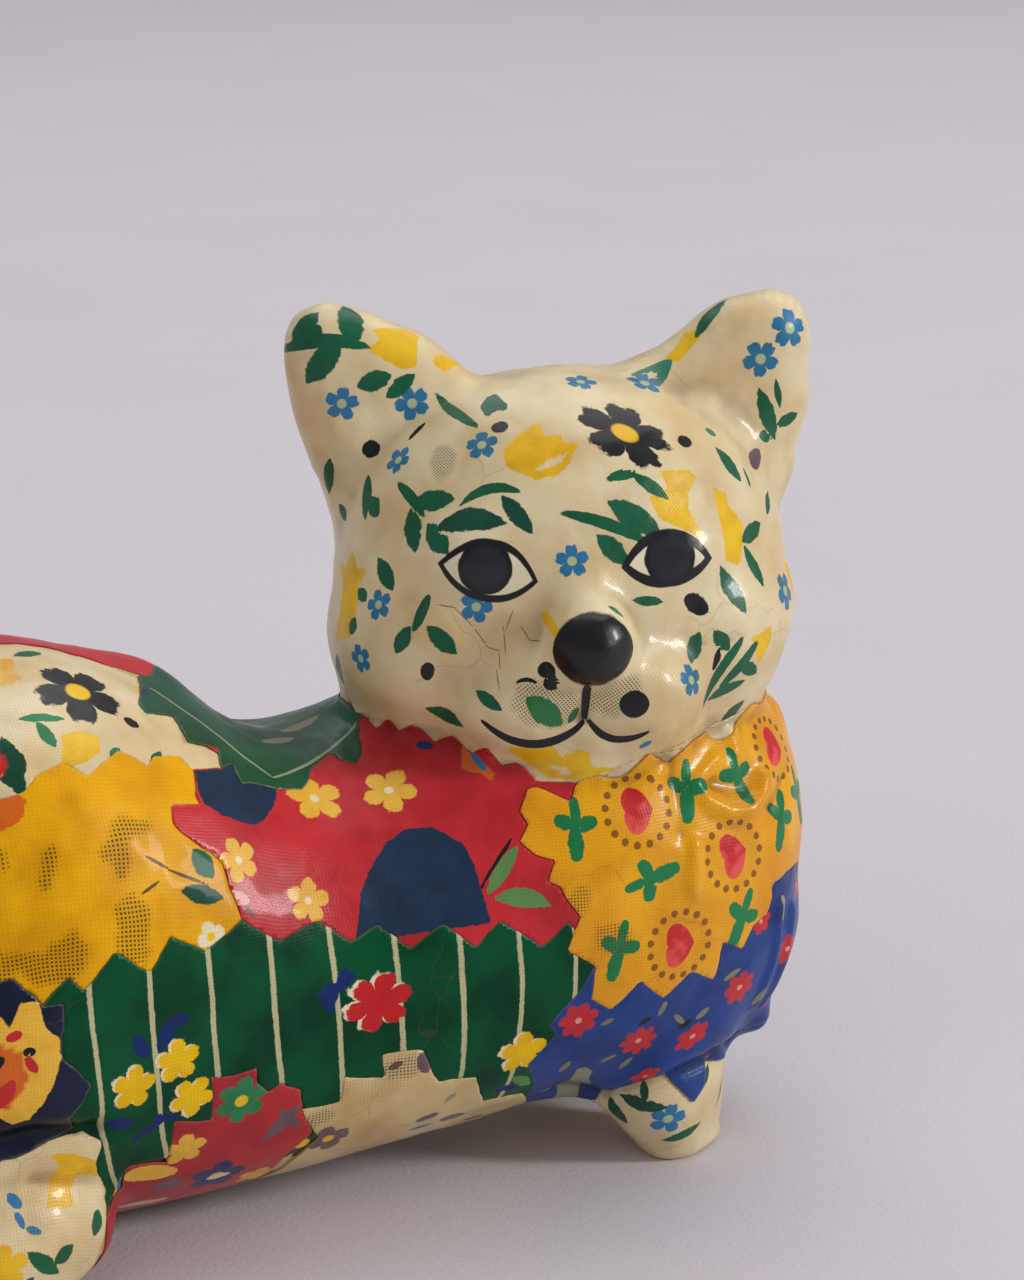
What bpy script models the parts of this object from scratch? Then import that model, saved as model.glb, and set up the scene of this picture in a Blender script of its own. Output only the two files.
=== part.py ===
"""A patchwork cat: a lying cat modelled in papier-mache, its head turned to its right.

One closed solid. It stands on four flat soles and on the flat of its rear belly.
+X runs from the rump to the chest, +Y to the cat's left and +Z up.
"""

import math

import bmesh
import bpy
from mathutils import Matrix, Vector

MM = 0.001

# Driving dimensions, in millimetres
SHOULDER_HALF_WIDTH = 23.5
HAUNCH_HALF_WIDTH = 27.0
SADDLE_HEIGHT = 46.3
RUMP_HEIGHT = 58.3
HEAD_CENTRE = Vector((28.2, 0.9, 61.0))
HEAD_HALF = Vector((22.6, 19.5, 19.3))  # across the face, front to back, up
HEAD_TURN = -12.0  # degrees about +Z: 0 looks along -Y

# The body's outline from the rump to the chest:
# (distance along X, half width, underside, back)
BODY_STATIONS = (
    (-58.0, 3.0, 21.0, 34.0),
    (-54.0, 14.5, 9.0, 45.5),
    (-44.0, 22.5, 2.0, 55.0),
    (-29.0, HAUNCH_HALF_WIDTH, 0.6, RUMP_HEIGHT),
    (-15.0, 25.0, 1.0, 53.0),
    (-3.0, 23.5, 2.2, SADDLE_HEIGHT),
    (9.0, SHOULDER_HALF_WIDTH, 3.8, 47.0),
    (21.0, SHOULDER_HALF_WIDTH, 5.0, 52.0),
    (33.0, 22.8, 5.6, 53.0),
    (44.0, 19.5, 8.0, 51.0),
    (50.8, 13.0, 13.0, 44.5),
    (53.4, 3.0, 23.0, 34.0),
)
BODY_RINGS_BETWEEN = 5
RING_POINTS = 48
RING_SQUARENESS = 2.15  # 2 is an ellipse, and more fills its corners

# Soft lumps added to the loft: (centre, half sizes, turn about +Z in degrees)
HAUNCH = (Vector((-33.0, 15.5, 25.5)), Vector((21.0, 12.5, 17.5)), 0.0)
HIND_FOOT = (Vector((-38.5, 20.5, 7.4)), Vector((13.8, 8.8, 8.4)), 0.0)
SHOULDER = (Vector((33.5, 10.8, 19.5)), Vector((12.5, 9.6, 12.0)), 0.0)

# Balls that a front leg's skin is stretched round, on the left: (x, y, z, radius)
FRONT_PAW_BALLS = (
    (40.0, 9.4, 2.8, 4.3),
    (36.4, 12.4, 3.0, 4.2),
    (37.2, 7.8, 3.0, 4.0),
    (33.4, 11.5, 12.0, 7.5),
    (37.0, 11.0, 12.5, 6.6),
)

# The tail's middle line, from the rump round the left haunch: (x, y, z, radius)
TAIL_BALLS = (
    (-53.0, 3.0, 14.0, 6.0),
    (-52.0, 15.0, 9.5, 6.0),
    (-44.5, 25.5, 7.0, 5.8),
    (-32.0, 30.5, 6.0, 5.5),
    (-18.0, 30.0, 5.2, 5.0),
    (-7.5, 26.0, 5.0, 4.6),
)

VOXEL = 1.1
SMOOTH_ROUNDS = 14
TRIANGLE_SHARE = 0.15
SHARP_ANGLE = 50.0  # degrees

CLOTH_COLOUR = (0.68, 0.56, 0.36, 1.0)
VARNISH_ROUGHNESS = 0.3


def clear_scene():
    """Removes everything that a new file starts with."""
    for obj in list(bpy.data.objects):
        bpy.data.objects.remove(obj, do_unlink=True)


def between(before, start, end, after, share):
    """Catmull-Rom value at share, from 0 to 1, of the way from start to end."""
    return 0.5 * (
        2 * start
        + (end - before) * share
        + (2 * before - 5 * start + 4 * end - after) * share**2
        + (3 * start - before - 3 * end + after) * share**3
    )


def smooth_stations(stations, steps):
    """The stations with steps - 1 more between each two, on a smooth curve."""
    rows = []
    last = len(stations) - 1
    for index in range(last):
        four = [stations[min(max(index + shift, 0), last)] for shift in (-1, 0, 1, 2)]
        for step in range(steps):
            rows.append([between(*column, step / steps) for column in zip(*four)])
    rows.append(list(stations[-1]))
    return rows


def add_loft(bm, stations):
    """A closed tube of rounded sections along X."""
    rings = []
    for x, half_width, low, high in smooth_stations(stations, BODY_RINGS_BETWEEN):
        middle, half_height = (low + high) / 2, (high - low) / 2
        ring = []
        for index in range(RING_POINTS):
            angle = 2 * math.pi * index / RING_POINTS
            across, up = math.cos(angle), math.sin(angle)
            reach = (abs(across) ** RING_SQUARENESS + abs(up) ** RING_SQUARENESS) ** (
                -1 / RING_SQUARENESS
            )
            place = Vector((x, half_width * across * reach, middle + half_height * up * reach))
            ring.append(bm.verts.new(place * MM))
        rings.append(ring)
    for ring, following in zip(rings, rings[1:]):
        for index in range(RING_POINTS):
            after = (index + 1) % RING_POINTS
            bm.faces.new((ring[index], ring[after], following[after], following[index]))
    bm.faces.new(reversed(rings[0]))
    bm.faces.new(rings[-1])


def add_lump(bm, centre, half, turn=0.0):
    """An ellipsoid with its first half size turned from +X about +Z."""
    matrix = (
        Matrix.Translation(centre * MM)
        @ Matrix.Rotation(math.radians(turn), 4, "Z")
        @ Matrix.Diagonal((*(half * MM), 1.0))
    )
    bmesh.ops.create_uvsphere(bm, u_segments=32, v_segments=20, radius=1.0, matrix=matrix)


def add_pair(bm, lump):
    """The same lump on both sides of the body."""
    centre, half, turn = lump
    for side in (-1, 1):
        add_lump(bm, Vector((centre.x, side * centre.y, centre.z)), half, side * turn)


def add_hull(bm, balls):
    """The skin stretched tight round balls: (x, y, z, radius)."""
    hull = bmesh.new()
    for x, y, z, radius in balls:
        matrix = Matrix.Translation(Vector((x, y, z)) * MM)
        bmesh.ops.create_icosphere(hull, subdivisions=3, radius=radius * MM, matrix=matrix)
    made = bmesh.ops.convex_hull(hull, input=list(hull.verts))
    inside = {
        item
        for item in made["geom_interior"] + made["geom_unused"]
        if isinstance(item, bmesh.types.BMVert)
    }
    bmesh.ops.delete(hull, geom=list(inside), context="VERTS")
    mesh = bpy.data.meshes.new("hull")
    hull.to_mesh(mesh)
    hull.free()
    bm.from_mesh(mesh)
    bpy.data.meshes.remove(mesh)


class Head:
    """Places on the head, given across the face, out of it and up."""

    def __init__(self):
        self.turn = Matrix.Rotation(math.radians(HEAD_TURN), 3, "Z")

    def at(self, across, forward, up):
        """A point from the head's centre, in the frame of the body."""
        return HEAD_CENTRE + self.turn @ Vector((across, -forward, up))

    def add(self, bm, across, forward, up, half):
        """An ellipsoid on the head."""
        add_lump(bm, self.at(across, forward, up), Vector(half), HEAD_TURN)

    def add_hull(self, bm, balls):
        """A hull round balls on the head: (across, forward, up, radius)."""
        add_hull(bm, [(*self.at(*place), radius) for *place, radius in balls])


def add_head(bm):
    """Skull, cheeks, muzzle, nose, brows and ears."""
    head = Head()
    head.add(bm, 0.6, 0, 0, HEAD_HALF)
    head.add(bm, 0.3, 5.5, -3.0, (20.5, 14.2, 13.5))
    for side in (-1, 1):
        head.add(bm, 0.5 + side * 11.2, 4.0, -5.4, (12.2, 14.0, 12.2))
        head.add(bm, side * 5.0, 16.8, -9.8, (7.2, 6.0, 6.2))
        head.add(bm, side * 8.8, 12.6, 3.4, (7.0, 5.6, 5.4))
        head.add_hull(
            bm,
            (
                (0.5 + side * 22.6, -2.5, 21.8, 4.2),
                (0.5 + side * 17.8, -2.5, 20.9, 4.0),
                (0.5 + side * 20.3, -2.5, 8.5, 5.0),
                (0.5 + side * 8.6, -2.5, 13.6, 5.4),
                (0.5 + side * 16.0, -3.0, 5.0, 7.0),
            ),
        )
    head.add(bm, 0, 12.4, -11.2, (13.8, 9.6, 9.6))
    head.add(bm, 0, 15.0, -2.5, (5.5, 6.5, 8.5))
    head.add(bm, 0, 21.8, -3.1, (4.3, 4.0, 3.9))


def add_tail(bm):
    """A tapering tail that lies curled along the left haunch."""
    for start, end in zip(TAIL_BALLS, TAIL_BALLS[1:]):
        add_hull(bm, (start, end))


def merge_lumps(bm):
    """The lumps as one smooth skin, in a new mesh."""
    lumps = bpy.data.meshes.new("lumps")
    bm.to_mesh(lumps)
    form = bpy.data.objects.new("form", lumps)
    bpy.context.scene.collection.objects.link(form)
    remesh = form.modifiers.new("Merge lumps", "REMESH")
    remesh.mode = "VOXEL"
    remesh.voxel_size = VOXEL * MM
    smooth = form.modifiers.new("Soften joins", "SMOOTH")
    smooth.factor = 0.5
    smooth.iterations = SMOOTH_ROUNDS
    decimate = form.modifiers.new("Fewer faces", "DECIMATE")
    decimate.ratio = TRIANGLE_SHARE
    evaluated = form.evaluated_get(bpy.context.evaluated_depsgraph_get())
    mesh = bpy.data.meshes.new_from_object(evaluated)
    bpy.data.objects.remove(form, do_unlink=True)
    bpy.data.meshes.remove(lumps)
    mesh.name = "cat"
    return mesh


def cut_soles(bm):
    """Takes away what lies below the ground, and closes each sole flat."""
    geometry = list(bm.verts) + list(bm.edges) + list(bm.faces)
    cut = bmesh.ops.bisect_plane(
        bm, geom=geometry, plane_co=(0, 0, 0), plane_no=(0, 0, 1), clear_inner=True
    )
    rim = [item for item in cut["geom_cut"] if isinstance(item, bmesh.types.BMEdge)]
    bmesh.ops.edgeloop_fill(bm, edges=rim)


def centre(bm):
    """Moves the middle of the plan to the origin."""
    for axis in (0, 1):
        places = [vert.co[axis] for vert in bm.verts]
        shift = Vector((0, 0, 0))
        shift[axis] = -(min(places) + max(places)) / 2
        bmesh.ops.translate(bm, verts=bm.verts, vec=shift)


def varnished_cloth():
    """Yellowed cream cotton under gloss varnish."""
    material = bpy.data.materials.new("Varnished cloth")
    material.use_nodes = True
    shader = material.node_tree.nodes["Principled BSDF"]
    shader.inputs["Base Color"].default_value = CLOTH_COLOUR
    shader.inputs["Roughness"].default_value = VARNISH_ROUGHNESS
    shader.inputs["Metallic"].default_value = 0.0
    return material


def build_cat():
    """The whole cat as one object."""
    bm = bmesh.new()
    add_loft(bm, BODY_STATIONS)
    for lump in (HAUNCH, HIND_FOOT, SHOULDER):
        add_pair(bm, lump)
    for side in (-1, 1):
        add_hull(bm, [(x, side * y, z, radius) for x, y, z, radius in FRONT_PAW_BALLS])
    add_tail(bm)
    add_head(bm)
    mesh = merge_lumps(bm)
    bm.free()

    bm = bmesh.new()
    bm.from_mesh(mesh)
    cut_soles(bm)
    centre(bm)
    bmesh.ops.recalc_face_normals(bm, faces=bm.faces)
    bm.to_mesh(mesh)
    bm.free()
    mesh.shade_smooth()
    mesh.set_sharp_from_angle(angle=math.radians(SHARP_ANGLE))
    mesh.materials.append(varnished_cloth())
    cat = bpy.data.objects.new("cat", mesh)
    bpy.context.scene.collection.objects.link(cat)
    return cat


def main():
    """Clears the scene and builds the cat."""
    clear_scene()
    build_cat()


main()
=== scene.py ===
"""The looks of the patchwork cat: papier-mache skinned with glued scraps of printed cloth.

The whole skin is modelled once as a dense form. It is then cut into scraps of cloth, each on a
flat sheet of its own that is bent round the form, and every scrap gets its print, its weave and
its coats of yellowed gloss varnish.
"""

import itertools
import logging
import math
from collections.abc import Callable, Iterable, Sequence
from dataclasses import dataclass
from enum import Enum

import bpy
import numpy as np
from mathutils import Matrix, Vector


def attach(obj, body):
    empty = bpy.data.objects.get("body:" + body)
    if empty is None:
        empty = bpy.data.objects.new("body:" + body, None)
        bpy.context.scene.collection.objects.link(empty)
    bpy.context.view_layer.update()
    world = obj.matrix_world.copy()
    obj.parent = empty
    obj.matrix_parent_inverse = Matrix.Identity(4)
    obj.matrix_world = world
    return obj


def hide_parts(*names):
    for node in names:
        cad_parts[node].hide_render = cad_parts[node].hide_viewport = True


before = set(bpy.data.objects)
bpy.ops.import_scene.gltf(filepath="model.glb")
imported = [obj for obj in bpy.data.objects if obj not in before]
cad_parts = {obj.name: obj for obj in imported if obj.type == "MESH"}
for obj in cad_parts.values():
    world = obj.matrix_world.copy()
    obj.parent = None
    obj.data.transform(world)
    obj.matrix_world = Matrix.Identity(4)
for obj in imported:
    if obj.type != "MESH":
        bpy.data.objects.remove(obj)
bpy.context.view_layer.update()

LOG = logging.getLogger("cat")
MM = 0.001
OUTSIDE = -3.0  # mm: what a field says of places well outside
WELL_INSIDE = 9.0  # mm: what it says of places well inside
FLOOR = 0.02  # mm: the lowest that the skin reaches
HASH = (73856093, 19349663, 83492791, 1274126177)

Triple = tuple[float, float, float]
Pair = tuple[float, float]

HEAD_CENTRE: Triple = (29.95, -2.37, 61.0)
HEAD_TURN = -12.0  # degrees about +Z: 0 looks along -Y


class Ink(Enum):
    """The printers' and painters' colours, as they look under the varnish."""

    CREAM = "#e3d0a6"
    PALE = "#f0dfba"
    LEAF = "#05603f"
    DEEP_LEAF = "#044a35"
    MOSS = "#5f9150"
    BLUE = "#2c7cae"
    BLACK = "#131418"
    YELLOW = "#f2c312"
    STRAW = "#efba3e"
    ORANGE = "#d9691c"
    RED = "#c8282c"
    PINK = "#e79a90"
    NAVY = "#182f6a"
    MAUVE = "#6f5560"
    GREEN = "#14804a"
    BROWN = "#6a4a25"
    STONE = "#989c80"
    CELADON = "#b9c79a"
    OLIVE = "#827f63"
    DEEP_NAVY = "#17304e"
    TEAL = "#2f8468"
    OCHRE = "#8f6a3a"


def linear(colour: Ink | str) -> tuple[float, float, float, float]:
    """The colour as a shader wants it.

    Args:
        colour: An ink, or a colour as #rrggbb.

    Returns:
        Red, green, blue and opacity on a linear scale.
    """
    code = colour.value if isinstance(colour, Ink) else colour
    parts = [int(code[start : start + 2], 16) / 255 for start in (1, 3, 5)]
    curved = [part / 12.92 if part < 0.04045 else ((part + 0.055) / 1.055) ** 2.4 for part in parts]
    return (*curved, 1.0)


def unit(vector: np.ndarray) -> np.ndarray:
    """The same direction at length one, for one vector or for rows of them."""
    return vector / (np.linalg.norm(vector, axis=-1, keepdims=True) + 1e-12)


def ease(value: np.ndarray, low: float, high: float) -> np.ndarray:
    """A smooth step from 0 at low to 1 at high."""
    share = np.clip((value - low) / (high - low), 0, 1)
    return share * share * (3 - 2 * share)


def soft_noise(points: np.ndarray, size: float, seed: int) -> np.ndarray:
    """Smooth noise between about -1 and 1.

    Args:
        points: Places in millimetres, one a row.
        size: The width of one swelling, in millimetres.
        seed: Which noise it is.

    Returns:
        One value for each place.
    """
    cells = points / size + 31.7 * seed
    base = np.floor(cells).astype(np.int64)
    part = cells - base
    fade = part * part * (3 - 2 * part)
    total = np.zeros(len(points))
    for corner in itertools.product((0, 1), repeat=3):
        spot = base + corner
        mixed = spot[:, 0] * HASH[0] ^ spot[:, 1] * HASH[1] ^ spot[:, 2] * HASH[2] ^ seed * 97
        mixed = (mixed ^ mixed >> 13) * HASH[3] & 0x7FFFFFFF
        value = (mixed >> 8 & 0xFFFF) / 32767.5 - 1
        total += value * np.prod(np.where(corner, fade, 1 - fade), axis=1)
    return total


def gap_to(away: np.ndarray, edge: np.ndarray) -> np.ndarray:
    """How far places are from a straight edge, when both are given from the edge's start."""
    share = np.clip(away @ edge / (edge @ edge), 0, 1)
    return np.linalg.norm(away - share[:, None] * edge, axis=1)


def head_place(across: float, forward: float, up: float) -> np.ndarray:
    """A point given from the head's centre, in the frame of the body, in millimetres."""
    turn = math.radians(HEAD_TURN)
    x = across * math.cos(turn) + forward * math.sin(turn)
    y = across * math.sin(turn) - forward * math.cos(turn)
    return np.array(HEAD_CENTRE) + (x, y, up)


@dataclass
class Shell:
    """A triangle mesh as arrays, in millimetres."""

    points: np.ndarray
    normals: np.ndarray
    hollow: np.ndarray
    faces: np.ndarray

    ON_THE_LINE = 0.04  # mm: a point this near to a cut lies on it

    @classmethod
    def bare(cls, points: np.ndarray, faces: np.ndarray) -> "Shell":
        """A shell with its normals worked out."""
        shell = cls(points, points, np.zeros(len(points)), faces)
        shell.normals = shell.facing()
        return shell

    def facing(self) -> np.ndarray:
        """Each point's normal, from the faces round it."""
        a, b, c = (self.points[self.faces[:, side]] for side in range(3))
        across = np.cross(b - a, c - a)
        total = np.zeros_like(self.points)
        for axis in range(3):
            weight = np.repeat(across[:, axis], 3)
            total[:, axis] = np.bincount(self.faces.ravel(), weight, len(self.points))
        return unit(total)

    def relaxed(self, values: np.ndarray, rounds: int, restore: float = 0.5) -> np.ndarray:
        """Values that are averaged with their neighbours' over and over.

        Args:
            values: One row for each point.
            rounds: How many times they are averaged.
            restore: The share of every second round. Below zero it keeps the form from shrinking.

        Returns:
            The averaged rows.
        """
        start = self.faces.ravel()
        end = np.roll(self.faces, -1, axis=1).ravel()
        count = np.bincount(start, minlength=len(self.points))[:, None] + 1e-9
        for turn in range(rounds):
            sums = [np.bincount(start, values[end, axis], len(values)) for axis in range(3)]
            share = restore if turn % 2 else 0.5
            values = values + share * (np.stack(sums, 1) / count - values)
        return values

    def kept(self, faces: np.ndarray) -> "Shell":
        """The shell of these faces alone."""
        used, renumbered = np.unique(faces, return_inverse=True)
        faces = renumbered.reshape(-1, 3)
        return Shell(self.points[used], self.normals[used], self.hollow[used], faces)

    def split(self, field_values: np.ndarray) -> tuple["Shell", "Shell"]:
        """Cuts the shell along the line where a field is zero.

        Args:
            field_values: The field at each point, in millimetres, above zero inside.

        Returns:
            The shell inside, and the shell outside.
        """
        signs = np.where(np.abs(field_values) < self.ON_THE_LINE, 0, np.sign(field_values)).astype(int)
        corner = signs[self.faces]
        inside = self.faces[(corner >= 0).all(1)]
        outside = self.faces[(corner <= 0).all(1) & (corner < 0).any(1)]
        crossed = self.faces[(corner > 0).any(1) & (corner < 0).any(1)]
        if not len(crossed):
            return self.kept(inside), self.kept(outside)
        corner = signs[crossed]
        flat = (corner == 0).any(1)
        odd = np.where(corner.sum(1) > 0, (corner < 0).argmax(1), (corner > 0).argmax(1))
        first = np.where(flat, (corner == 0).argmax(1), odd)
        order = (first[:, None] + np.arange(3)) % 3
        turned = np.take_along_axis(crossed, order, 1)
        ends = np.concatenate([turned[:, [0, 1]], turned[:, [0, 2]], turned[:, [1, 2]]])
        needed = np.concatenate([~flat, ~flat, flat])
        pairs = np.sort(ends, axis=1)
        keys, place = np.unique(pairs[needed], axis=0, return_inverse=True)
        number = np.full(len(ends), -1)
        number[needed] = place.ravel() + len(self.points)
        on_first, on_second, on_far = number.reshape(3, -1)
        low, high = field_values[keys[:, 0]], field_values[keys[:, 1]]
        share = (low / (low - high))[:, None]
        grown = Shell(
            np.vstack([self.points, self._between(self.points, keys, share)]),
            np.vstack([self.normals, unit(self._between(self.normals, keys, share))]),
            np.append(self.hollow, self._between(self.hollow[:, None], keys, share)), self.faces,
        )
        a, b, c = turned.T
        tip = np.stack([a, on_first, on_second], 1)
        rest = np.vstack([np.stack([on_first, b, c], 1), np.stack([on_first, c, on_second], 1)])
        before, after = np.stack([a, b, on_far], 1), np.stack([a, on_far, c], 1)
        tip_in = signs[a] > 0
        before_in = signs[b] > 0
        rest_in = np.tile(tip_in, 2)
        both = np.tile(~flat, 2)
        inner = [inside, tip[~flat & tip_in], rest[both & ~rest_in]]
        inner += [before[flat & before_in], after[flat & ~before_in]]
        outer = [outside, tip[~flat & ~tip_in], rest[both & rest_in]]
        outer += [before[flat & ~before_in], after[flat & before_in]]
        return grown.kept(np.vstack(inner)), grown.kept(np.vstack(outer))

    @staticmethod
    def _between(values: np.ndarray, keys: np.ndarray, share: np.ndarray) -> np.ndarray:
        """The values at cut points on the edges."""
        return values[keys[:, 0]] * (1 - share) + values[keys[:, 1]] * share


@dataclass(frozen=True)
class Sheet:
    """A flat sheet that is bent round the form, with places on it as (u, v) in millimetres."""

    centre: Triple
    facing: Triple
    along: Triple = (1.0, 0.0, 0.0)
    bend: float = 26.0

    def axes(self) -> tuple[np.ndarray, np.ndarray, np.ndarray]:
        """The sheet's u, v and outward directions."""
        out = unit(np.array(self.facing, float))
        along = np.array(self.along, float)
        first = unit(along - out * (along @ out))
        return first, np.cross(out, first), out

    def flatten(self, points: np.ndarray) -> np.ndarray:
        """Where points of the form lie on the sheet.

        Args:
            points: Places in millimetres, one a row.

        Returns:
            Their (u, v), one a row.
        """
        first, second, _ = self.axes()
        away = points - np.array(self.centre)
        chord = np.linalg.norm(away, axis=1)
        reach = 2 * self.bend * np.arcsin(np.minimum(chord / (2 * self.bend), 0.98))
        flat = np.stack([away @ first, away @ second], 1)
        return unit(flat) * reach[:, None]

    def covers(self, shell: Shell, turn_limit: float = -0.25, depth: float = 20.0) -> np.ndarray:
        """Which points the sheet can reach without folding back."""
        out = self.axes()[2]
        deep = (shell.points - np.array(self.centre)) @ out
        return (shell.normals @ out > turn_limit) & (deep > -depth)

    def locate(
        self, shell: Shell, flat: np.ndarray, reach: np.ndarray, u: float, v: float
    ) -> tuple[np.ndarray, np.ndarray, np.ndarray, np.ndarray]:
        """Finds a place on the form from its place on the sheet.

        Args:
            shell: The form.
            flat: The shell's points on the sheet.
            reach: Which of them the sheet covers.
            u: The place along the sheet.
            v: The place up the sheet.

        Returns:
            The point, and the directions along, up and out of the form there.
        """
        gap = np.hypot(flat[:, 0] - u, flat[:, 1] - v) + np.where(reach, 0, 1000)
        nearest = int(gap.argmin())
        out = shell.normals[nearest]
        first = self.axes()[0]
        along = unit(first - out * (first @ out))
        over = np.cross(out, along)
        step = np.clip((u - flat[nearest, 0], v - flat[nearest, 1]), -6, 6)
        return shell.points[nearest] + along * step[0] + over * step[1], along, over, out


FACE = Sheet((24.5, -25, 58), (-0.208, -0.978, 0), (0.978, -0.208, 0), 22.0)
NAPE = Sheet((34, 17, 61), (0.208, 0.978, 0), (-0.978, 0.208, 0), 22.0)
HUMP = Sheet((-23, -15, 55), (0.1, -0.35, 0.93))
BACK = Sheet((5, -20, 40), (0, -0.65, 0.75))
FLANK = Sheet((-2, -27, 26), (0.05, -1, 0.05))
SIDE = Sheet((-23, -27, 43), (0.15, -0.85, 0.5))
SADDLE = Sheet((-4, -6, 47), (0.3, -0.3, 0.9))
COLLAR = Sheet((32, -26, 36), (0.2, -0.97, 0.15))
CHEST = Sheet((32, -24, 18.5), (0.2, -0.9, -0.35))
BELLY = Sheet((8, -23, 13), (0.05, -0.85, -0.5))
SKIRT = Sheet((-14, -25, 13.5), (0.05, -0.88, -0.47))
HAUNCH = Sheet((-32, -31, 26), (0, -1, 0))
HIND_FOOT = Sheet((-31, -30, 12), (0.3, -0.8, 0.5))
FRONT_PAW = Sheet((35, -21, 7), (0.1, -0.95, -0.3))
BREAST = Sheet((55, -2, 27), (1, -0.1, 0.0), (0, 1, 0))
FAR_HUMP = Sheet((-22, 13, 55), (0, 0.5, 0.86), (-1, 0, 0))
FAR_BACK = Sheet((8, 21, 38), (0, 0.85, 0.5), (-1, 0, 0))
FAR_FLANK = Sheet((-2, 24, 22), (0, 1, 0), (-1, 0, 0))
FAR_CHEST = Sheet((36, 22, 22), (0.35, 0.93, -0.1), (-1, 0, 0))
RUMP = Sheet((-55, 0, 30), (-1, 0, 0.15), (0, -1, 0))
TAIL = Sheet((-34, 31, 7), (-0.2, 0.95, 0.3), (-1, 0, 0))
UNDER = Sheet((0, 0, 2), (0, 0, -1))


def turned(place: Pair, degrees: float) -> Pair:
    """The place turned about the sheet's centre."""
    angle = math.radians(degrees)
    u, v = place
    return u * math.cos(angle) - v * math.sin(angle), u * math.sin(angle) + v * math.cos(angle)


def pinked(path: Sequence[Pair], teeth: int, depth: float, lean: float = 0.5) -> list[Pair]:
    """A zigzag edge, as pinking shears leave it.

    Args:
        path: The line through the bottoms of the teeth.
        teeth: How many teeth there are.
        depth: How far a tooth stands to the left of the line.
        lean: How far along a tooth its tip is.

    Returns:
        The corners, from the path's start to its end.
    """
    line = np.array(path, float)
    run = np.append(0, np.cumsum(np.hypot(*np.diff(line, axis=0).T)))
    corners: list[Pair] = []
    for index in range(teeth):
        for share, out in ((0.0, 0.0), (lean, depth)):
            place = run[-1] * (index + share) / teeth
            spot = np.array([np.interp(place, run, line[:, axis]) for axis in (0, 1)])
            ahead = np.array([np.interp(place + 0.5, run, line[:, axis]) for axis in (0, 1)])
            behind = np.array([np.interp(place - 0.5, run, line[:, axis]) for axis in (0, 1)])
            heading = unit(ahead - behind)
            spot = spot + out * np.array((-heading[1], heading[0]))
            corners.append((float(spot[0]), float(spot[1])))
    corners.append((float(line[-1, 0]), float(line[-1, 1])))
    return corners


def outline_field(flat: np.ndarray, outline: Sequence[Pair]) -> np.ndarray:
    """How far inside an outline places are.

    Args:
        flat: Places on the sheet, one a row.
        outline: The corners in order.

    Returns:
        The distance to the outline, below zero outside it.
    """
    corners = np.array(outline, float)
    low, high = corners.min(0) + OUTSIDE, corners.max(0) - OUTSIDE
    near = ((flat > low) & (flat < high)).all(1)
    spots = flat[near]
    nearest = np.full(len(spots), WELL_INSIDE)
    inside = np.zeros(len(spots), bool)
    for start, end in zip(corners, np.roll(corners, -1, axis=0)):
        edge = end - start
        away = spots - start
        nearest = np.minimum(nearest, gap_to(away, edge))
        spans = (start[1] > spots[:, 1]) != (end[1] > spots[:, 1])
        rise = edge[1] if abs(edge[1]) > 1e-9 else 1e-9
        inside ^= spans & (away[:, 0] < edge[0] * away[:, 1] / rise)
    result = np.full(len(flat), OUTSIDE)
    result[near] = np.where(inside, nearest, -nearest)
    return result


class Layer(Enum):
    """The kinds of printed shape, each drawn by its own part of a cloth's shader."""

    BOLD = "bold"  # flowers and blobs: the third number counts the petals
    FINE = "fine"  # leaves, stems and dots: the third number sets how blunt the ends are
    MARK = "mark"  # a shape that only this cloth has
    PAINT = "paint"  # the face's black strokes


OPEN_RING = 14  # corners of an open place
POINTED = 0.85  # how sharp the ends of a fine shape are: a leaf
OVAL = 0.5
BLUNT = 0.3
SQUARE = 0.2


@dataclass(frozen=True)
class Motif:
    """One printed or painted shape at its place on a sheet, in millimetres and degrees."""

    layer: Layer
    u: float
    v: float
    length: float
    width: float
    turn: float = 0.0
    detail: float = 0.0
    ink: Ink = Ink.LEAF
    bend: float = 0.0
    margin: float = 0.0
    eye: Ink | None = None


@dataclass(frozen=True)
class Patch:
    """A larger printed shape by its corners on the sheet, or a place where the weave is open."""

    outline: Sequence[Pair]
    ink: Ink | None = None


def flower(u: float, v: float, radius: float, petals: int, turn: float, ink: Ink) -> Motif:
    """A round blossom."""
    return Motif(Layer.BOLD, u, v, radius, radius, turn, petals, ink)


def forget_me_not(u: float, v: float, radius: float, turn: float = 0.0) -> Motif:
    """A small blue blossom with a pale green eye."""
    return Motif(Layer.BOLD, u, v, radius, radius, turn, 5.06, Ink.BLUE, eye=Ink.CELADON)


def blob(u: float, v: float, length: float, width: float, turn: float, ink: Ink) -> Motif:
    """A plain rounded patch of ink under the leaves."""
    return Motif(Layer.BOLD, u, v, length, width, turn, 0, ink)


def leaf(
    u: float, v: float, length: float, width: float, turn: float, bend: float = 0.0, ink: Ink = Ink.LEAF
) -> Motif:
    """A pointed leaf, given by its half length and half width."""
    return Motif(Layer.FINE, u, v, length, width, turn, POINTED, ink, bend)


def dot(
    u: float, v: float, length: float, width: float, turn: float = 0.0, ink: Ink = Ink.BLACK
) -> Motif:
    """An oval spot."""
    return Motif(Layer.FINE, u, v, length, width, turn, OVAL, ink)


def rule(
    u: float, v: float, length: float, width: float, turn: float, bend: float = 0.0, ink: Ink = Ink.STONE
) -> Motif:
    """A thin line with blunt ends."""
    return Motif(Layer.FINE, u, v, length, width, turn, SQUARE, ink, bend)


def each(make: Callable[..., Motif], rows: Iterable[Sequence], **shared: object) -> list[Motif]:
    """One shape for each row of its sizes, with what they share given once."""
    return [make(*row, **shared) for row in rows]


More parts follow.
